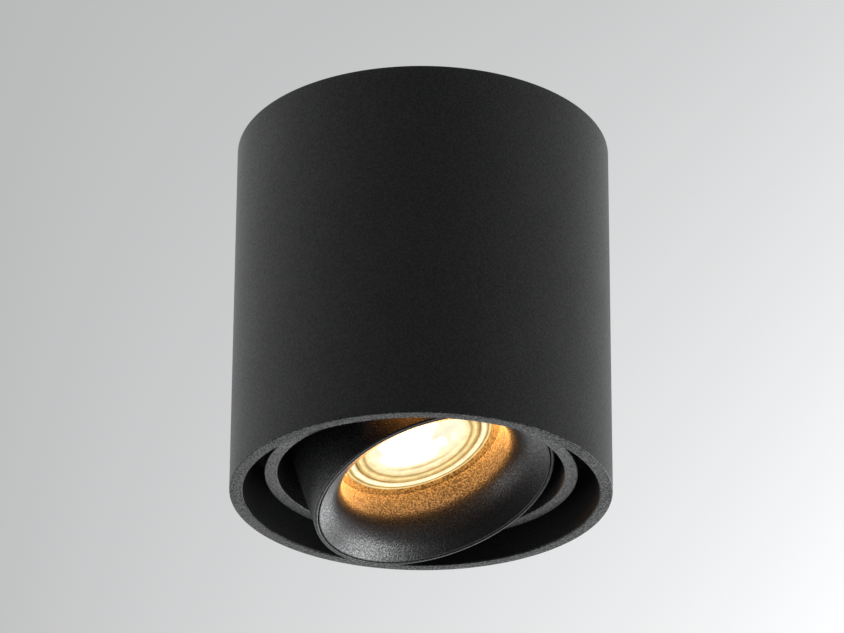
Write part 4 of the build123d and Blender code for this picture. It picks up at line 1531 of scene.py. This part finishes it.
@dataclass
class Lamp:
    """The twist-lock reflector lamp, lit."""

    front: float = 3.16 * MM
    step: float = 7.46 * MM
    seat: float = 9.06 * MM
    bowl_start: float = 11.16 * MM
    back: float = 35.06 * MM
    radius: float = 25.0 * MM
    boss: float = 20.9 * MM
    neck: float = 12.0 * MM
    wall: float = 1.2 * MM
    bowl_curve: float = 45.0 * MM
    petals: int = 20
    facet_rings: int = 5
    facet_depth: float = 0.5 * MM
    raised_rings: tuple = (16.2 * MM, 17.9 * MM)
    raise_height: float = 0.28 * MM
    capsule_tip: float = 14.06 * MM
    capsule_radius: float = 5.0 * MM
    filament_middle: float = 20.57 * MM
    filament_length: float = 4.8 * MM
    filament_turns: int = 9
    filament_radius: float = 0.8 * MM
    foot_radius: float = 11.6 * MM
    foot_end: float = 50.66 * MM

    def lens(self) -> Skin:
        """The front glass: a flat face with two raised rings near its edge, then the step.

        Returns:
            The glass, leant as it rests.
        """
        f, boss, mm = self.front, self.boss, MM
        raised = [(start + along, level) for start in self.raised_rings for along, level in (
            (0, f), (0.3 * mm, f - self.raise_height), (0.9 * mm, f - self.raise_height), (1.2 * mm, f))]
        outside = self.radius - 0.4 * mm
        rest = [(19.6 * mm, f), (20.5 * mm, f + 0.05 * mm), (boss, f + 0.6 * mm),
                (boss + 0.4 * mm, self.step),
                (outside, self.step), (outside, self.seat), (boss - 1.3 * mm, self.seat),
                (boss - 1.7 * mm, f + 2 * mm), (0, f + 2 * mm)]
        cuts = [0] + [0.12 * mm] * len(raised)
        cuts += [cut * mm for cut in (0.3, 0.3, 0.3, 0.15, 0.2, 0.1, 0.2, 0.4, 0)]
        return turned(softened([(0, f)] + raised + rest, cuts, 3, loop=False), 192, loop=False).leant()

    def bowl_profile(self, start: tuple, end: tuple, curve: float, count: int) -> np.ndarray:
        """Points on the bulging arc of a given radius between two outline points.

        Args:
            start: The first (radius, height) point.
            end: The last one.
            curve: The arc's radius.
            count: How many points.

        Returns:
            A (count, 2) array.
        """
        a, b = np.array(start), np.array(end)
        chord = b - a
        half = np.linalg.norm(chord) / 2
        normal = np.array([chord[1], -chord[0]]) / (2 * half)
        centre = (a + b) / 2 - normal * sqrt(curve ** 2 - half ** 2)
        first, last = (np.arctan2(*(p - centre)[::-1]) for p in (a, b))
        angle = np.linspace(first, last, count)
        return centre + curve * np.stack([np.cos(angle), np.sin(angle)], 1)

    def bowl(self) -> bpy.types.Object:
        """The reflector, its inner side pressed into facets.

        The inner radius is r - d |sin(n a / 2)| |sin(m pi s)|, with s from 0 at the rim to 1 at the
        neck, so that each facet bulges inwards and meets its neighbours in a crease. The facet and
        inside attributes tell the finish how deep a facet is pressed and which side a point is on.

        Returns:
            The piece.
        """
        inside_back = self.back - self.wall
        inner = self.bowl_profile((self.radius - self.wall, self.bowl_start),
                                  (self.neck - self.wall, inside_back), self.bowl_curve - self.wall, 61)
        outer = self.bowl_profile((self.radius, self.bowl_start), (self.neck, self.back), self.bowl_curve, 30)
        hole = self.capsule_radius + 1.5 * MM
        rim = softened([(self.radius - self.wall, self.bowl_start), (self.radius - self.wall, self.seat),
                        (self.radius, self.seat), (self.radius, self.bowl_start)],
                       [0, 0.2 * MM, 0.2 * MM, 0], 3, loop=False)[1:-1]
        outline = np.vstack([inner[::-1], rim, outer, [(hole, self.back)], [(hole, inside_back)]])
        steps = self.petals * 12
        skin = turned(outline, steps)
        share = np.zeros(len(outline))
        share[:len(inner)] = np.linspace(1, 0, len(inner))
        angle = np.arange(steps) * 2 * pi / steps
        across = np.abs(np.sin(self.petals * angle / 2))
        fold = np.abs(np.sin(self.facet_rings * pi * share))[:, None] * across
        fold[len(inner):] = 0
        factor = 1 - self.facet_depth * fold.reshape(-1) / np.repeat(outline[:, 0], steps)
        skin.points[:, :2] *= factor[:, None]
        inside = np.zeros(len(outline))
        inside[:len(inner) + 1] = 1
        inside[-1] = 1
        piece = make_piece("reflector_bowl", skin.leant(), 12)
        for name, values in (("facet", fold.reshape(-1)), ("inside", np.repeat(inside, steps))):
            layer = piece.data.attributes.new(name, "FLOAT", "POINT")
            layer.data.foreach_set("value", values.astype(np.float32))
        return piece

    def capsule(self) -> Skin:
        """The clear capsule: a round tip, a straight tube and a pinched foot, as one closed wall.

        Returns:
            The capsule with the hollow in it, leant as it rests.
        """
        r, tip = self.capsule_radius, self.capsule_tip
        q = np.linspace(0, pi / 2, 12)
        outside = np.stack([r * np.sin(q), tip + r - r * np.cos(q)], 1)
        k = r - 0.8 * MM
        floor = self.back - 5 * MM
        inside = np.stack([k * np.sin(q), tip + r - k * np.cos(q)], 1)[::-1]
        outline = np.vstack([outside, [(r, floor + 1 * MM), (0.8 * r, floor + 2.5 * MM), (0.8 * r, self.back),
                                       (0, self.back)]])
        hollow = np.vstack([[(0, floor)], [(0.7 * k, floor)], [(k, floor - 1 * MM)], inside])
        shell = turned(outline, 64, loop=False)
        cave = turned(hollow, 64, loop=False)
        return shell.joined(Skin(cave.points, cave.quads[:, ::-1], cave.triangles[:, ::-1])).leant()

    def filament(self) -> Skin:
        """The coiled filament, (l (s - 1/2), r cos(2 pi n s), r sin(2 pi n s)), on its two legs.

        Returns:
            The filament, leant as it rests.
        """
        s = np.linspace(0, 1, self.filament_turns * 24)
        turn = 2 * pi * self.filament_turns * s
        r = self.filament_radius
        coil = np.stack([self.filament_length * (s - 0.5), r * np.cos(turn),
                         self.filament_middle + r * np.sin(turn)], 1)
        skin = tube_along(coil, 0.14 * MM, 8)
        for side in (-1, 1):
            x = side * self.filament_length / 2
            leg = np.array([[x, r, self.filament_middle], [x, 0.5 * r, self.filament_middle + 3 * MM],
                            [0.67 * x, 0, self.filament_middle + 6 * MM],
                            [0.67 * x, 0, self.back - 5.1 * MM]])
            skin = skin.joined(tube_along(leg, 0.2 * MM, 8))
        return skin.leant()

    def base(self) -> Skin:
        """The ceramic base: a collar round the bowl's neck, a shoulder and the waisted foot.

        Returns:
            The base, leant as it rests.
        """
        back, foot, end = self.back, self.foot_radius, self.foot_end
        collar = self.neck + self.wall + 1.3 * MM
        rim, lip, shoulder = collar + 1.2 * MM, back - 1.5 * MM, back + 2 * MM
        outline = softened(
            [(0, back), (collar, back), (collar, lip), (rim, lip), (rim, shoulder), (foot, back + 5 * MM),
             (foot, end), (0, end)],
            [0, 0.1 * MM, 0.3 * MM, 0.4 * MM, 0.6 * MM, 0.8 * MM, 0.6 * MM, 0], 4, loop=False)
        return turned(outline, 128, loop=False).leant()

    def build(self, dresser: Dresser) -> None:
        """Makes the lamp and dresses its pins.

        Args:
            dresser: What gives pieces and nodes their finishes.
        """
        dresser.fit(make_piece("front_glass", self.lens(), 50), Finish.LENS, "lamp", "lamp_lens")
        dresser.fit(self.bowl(), Finish.BOWL, "lamp", "lamp_reflector")
        dresser.fit(make_piece("capsule_glass", self.capsule(), 50), Finish.CAPSULE, "lamp", "lamp_capsule")
        dresser.fit(make_piece("filament_coil", self.filament()), Finish.FILAMENT, "lamp", "lamp_filament")
        dresser.fit(make_piece("lamp_foot", self.base(), 40), Finish.CERAMIC, "lamp", "lamp_base")
        dresser.dress_nodes(Finish.BRASS, "lamp_pins")


# ---------------------------------------------------------------- studio


@dataclass(frozen=True)
class SoftSource:
    """A soft light far off: its azimuth from the way the camera faces, its height, gain and tightness."""

    azimuth: float
    elevation: float
    gain: float
    tightness: float


@dataclass(frozen=True)
class DiscLight:
    """A small warm disc light that isn't seen itself."""

    name: str
    power: float
    size: float
    color: tuple
    spread: float = 180

    def hang(self, place: Vector, way: Vector) -> bpy.types.Object:
        """Hangs the light up.

        Args:
            place: Where it hangs.
            way: The way it shines.

        Returns:
            The light, linked to the scene.
        """
        data = bpy.data.lights.new(self.name, "AREA")
        data.shape = "DISK"
        data.size = self.size
        data.spread = radians(self.spread)
        data.color = self.color
        data.energy = self.power
        light = bpy.data.objects.new(self.name, data)
        light.matrix_world = Matrix.Translation(place) @ way.to_track_quat("-Z", "Y").to_matrix().to_4x4()
        light.visible_camera = False
        bpy.context.scene.collection.objects.link(light)
        return light


@dataclass
class Studio:
    """The camera of the photograph, its pale backdrop and floor, and the soft light."""

    distance: float = 1.229446
    elevation: float = 24.3561
    aim: float = 2.1600
    roll: float = 0.3221
    turn: float = 28.976
    mouth_height: float = -0.100
    lens: float = 201.0224
    backdrop_distance: float = 2.5
    backdrop_half: float = 2.2
    backdrop_light_falloff: tuple = (0.664, 0.1375, -0.095, -0.065, 0.03, 0.035)
    view_half: tuple = (0.3339, 0.2505)
    floor_height: float = -1.5
    floor_half: float = 14.0
    surround_dark: float = 0.115
    surround_gain: float = 0.70
    lamp_light: DiscLight = DiscLight("lamp_light", 0.044, 44.6 * MM, (1.0, 0.42, 0.10))
    lamp_light_depth: float = 2.95 * MM
    leak: DiscLight = DiscLight("near_leak", 0.026, 7 * MM, (1.0, 0.38, 0.08), 130)
    leak_direction: float = -70
    leak_radius: float = 37.0 * MM
    leak_height: float = -78 * MM
    leak_slope: tuple = (4.1, 14.0)
    sources: tuple = (SoftSource(80, -33, 13.0, 44), SoftSource(55, -18, 0.25, 10),
                      SoftSource(-80, -22, 2.0, 14), SoftSource(33, -6, 4.5, 44), SoftSource(4, -24, 0.48, 9))

    def axes(self) -> tuple[Vector, Vector, Vector, Vector]:
        """The camera's place and its right, up and forward directions in the light's frame.

        In a frame turned by the camera's azimuth it stands at (0, -d cos e, -d sin e) from the mouth
        and looks along (0, cos f, sin f), with f its elevation and aim added, then it is rolled about
        that line.

        Returns:
            The place and the three directions.
        """
        e, f, k = radians(self.elevation), radians(self.elevation + self.aim), radians(self.roll)
        place = Vector((0, -self.distance * cos(e), -self.distance * sin(e)))
        ahead = Vector((0, cos(f), sin(f)))
        right = Vector((1, 0, 0))
        up = right.cross(ahead)
        level = cos(k) * right + sin(k) * up
        upright = -sin(k) * right + cos(k) * up
        around = Matrix.Rotation(radians(self.turn), 3, "Z")
        return (around @ place + Vector((0, 0, self.mouth_height)), around @ level, around @ upright,
                around @ ahead)

    def facing(self, azimuth: float, elevation: float) -> Vector:
        """A direction of the studio.

        Args:
            azimuth: Its turn from the level way from the camera to the light.
            elevation: Its height in degrees.

        Returns:
            A unit vector in the light's frame.
        """
        a, h = radians(azimuth), radians(elevation)
        way = Vector((sin(a) * cos(h), cos(a) * cos(h), sin(h)))
        return Matrix.Rotation(radians(self.turn), 3, "Z") @ way

    def camera(self) -> None:
        """Sets the camera up with the photograph's place, aim and lens."""
        place, right, up, ahead = self.axes()
        data = bpy.data.cameras.new("photo_camera")
        data.sensor_width = 36
        data.lens = self.lens
        data.clip_start, data.clip_end = 0.05, 60
        camera = bpy.data.objects.new("photo_camera", data)
        camera.matrix_world = Matrix([(*row, p) for row, p in zip(
            Matrix([right, up, -ahead]).transposed(), place)] + [(0, 0, 0, 1)])
        bpy.context.scene.collection.objects.link(camera)
        bpy.context.scene.camera = camera

    def world(self) -> None:
        """A pale surround, bright behind the light, dim on the camera's side and below.

        What lights the object has strength (dark + gain ((1 + c) / 2)^0.9) d, where c is how far
        a direction agrees with the level way from the camera to the light and d dims the lowest
        directions. Each soft source adds gain max(0, a)^t, with a its agreement and t its
        tightness. What is seen past the object is an even pale grey.
        """
        world = bpy.data.worlds.new("surround")
        world.use_nodes = True
        bpy.context.scene.world = world
        board = NodeBoard(world.node_tree)
        way = board.add("TexCoord").outputs["Generated"]
        share = board.math("MULTIPLY", board.math("ADD", board.dot(way, self.facing(0, 0)), 1.0), 0.5)
        strength = board.math("MULTIPLY", board.math("POWER", share, 0.9), self.surround_gain)
        strength = board.math("ADD", strength, self.surround_dark)
        dimming = board.between(board.dot(way, (0, 0, 1)), -1.0, -0.45, 0.05, 1.0)
        strength = board.math("MULTIPLY", strength, dimming)
        for source in self.sources:
            near = board.math("MAXIMUM", board.dot(way, self.facing(source.azimuth, source.elevation)), 0.0)
            lobe = board.math("MULTIPLY", board.math("POWER", near, source.tightness), source.gain)
            strength = board.math("ADD", strength, lobe)
        lit = board.add("Background", {"Color": (0.98, 0.99, 1.0, 1), "Strength": strength})
        seen = board.add("Background", {"Color": (0.66, 0.665, 0.675, 1)})
        by_camera = board.add("LightPath").outputs["Is Camera Ray"]
        mix = board.add("MixShader", {0: by_camera, 1: lit.outputs[0], 2: seen.outputs[0]})
        board.add("OutputWorld", {"Surface": mix.outputs[0]})

    def sheet(self, name: str, corners: list, material: bpy.types.Material) -> None:
        """A stage sheet that is only seen, so that it neither lights nor shades the object.

        Args:
            name: Its name.
            corners: Its four corners.
            material: Its finish.
        """
        mesh = bpy.data.meshes.new(name)
        mesh.from_pydata([tuple(corner) for corner in corners], [], [(0, 1, 2, 3)])
        mesh.materials.append(material)
        sheet = bpy.data.objects.new(name, mesh)
        bpy.context.scene.collection.objects.link(sheet)
        sheet.visible_diffuse = False
        sheet.visible_glossy = False
        sheet.visible_transmission = False
        sheet.visible_shadow = False

    def backdrop(self) -> None:
        """The backdrop, its painted light fall-off a + b u + c v + d u v + e u^2 + f u^3 across the
        photograph's frame.
        """
        place = self.axes()[0]
        gaze = (Vector((0, 0, 0.5 * self.mouth_height)) - place).normalized()
        right = gaze.cross(Vector((0, 0, 1))).normalized()
        up = right.cross(gaze)
        centre = place + gaze * (self.distance + self.backdrop_distance)
        corners = [centre + self.backdrop_half * (x * right + y * up) for x, y in CORNERS]
        r = Recipe("backdrop paper")
        spot = r.add("VectorMath", {0: r.place(), 1: centre}, operation="SUBTRACT").outputs[0]
        u, v = (r.math("DIVIDE", r.dot(spot, way), half) for way, half in zip((right, up), self.view_half))
        u, v = (r.math("MINIMUM", r.math("MAXIMUM", c, -1.5), 1.5) for c in (u, v))
        uv, square = r.math("MULTIPLY", u, v), r.math("MULTIPLY", u, u)
        # Brightness graded across the backdrop: painted light fall-off.
        a, b, c, d, e, f = self.backdrop_light_falloff
        grey = r.math("ADD", r.math("ADD", r.math("MULTIPLY", u, b), r.math("MULTIPLY", v, c)),
                      r.math("ADD", r.math("MULTIPLY", uv, d), a))
        grey = r.math("ADD", grey, r.math("MULTIPLY", square, r.math("ADD", r.math("MULTIPLY", u, f), e)))
        light = r.add("Emission", {"Color": (0.985, 0.99, 1.0, 1), "Strength": grey})
        self.sheet("backdrop", corners, r.finish(light))

    def floor(self) -> None:
        """The pale floor far below the light."""
        k, z = self.floor_half, self.floor_height
        r = Recipe("pale floor")
        mottle = r.blend_colors(r.noise(0.4, 2), (0.52, 0.525, 0.53), (0.56, 0.565, 0.57))
        shader = r.add("BsdfPrincipled", {"Base Color": mottle, "Roughness": 0.8,
                                          "Emission Color": (0.98, 0.99, 1.0, 1), "Emission Strength": 0.42})
        self.sheet("floor", [(k * x, k * y, z) for x, y in CORNERS], r.finish(shader))

    def hang_lights(self) -> None:
        """Hangs a disc just in front of the glass, which lights the throat, and one above the head's gap."""
        shine = Vector(HEAD.shine())
        light = self.lamp_light.hang(Vector((0, 0, HEAD.pivot_height)) - shine * self.lamp_light_depth, shine)
        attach(light, "lamp")
        out = Vector((cos(radians(self.leak_direction)), sin(radians(self.leak_direction)), 0))
        inward, down = self.leak_slope
        way = (-inward * out - Vector((0, 0, down))).normalized()
        light = self.leak.hang(self.leak_radius * out + Vector((0, 0, self.leak_height)), way)
        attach(light, "ring")

    def build(self) -> None:
        """Sets up the camera, the light and the stage."""
        bpy.context.scene.view_settings.view_transform = "Standard"
        self.camera()
        self.world()
        self.backdrop()
        self.floor()
        self.hang_lights()
        log.info("studio: camera, surround, backdrop, floor and lamp light")


def main() -> None:
    """Builds the light's sub-assemblies in order, then the studio."""
    dresser = Dresser()
    for part in (Housing(), CeilingMount(), Wiring(), SwivelRing(), HeadCan(), GlareBaffle(),
                 LampHolder(), Lamp()):
        log.info("building %s", type(part).__name__)
        part.build(dresser)
    Studio().build()


if __name__ == "__main__":
    main()
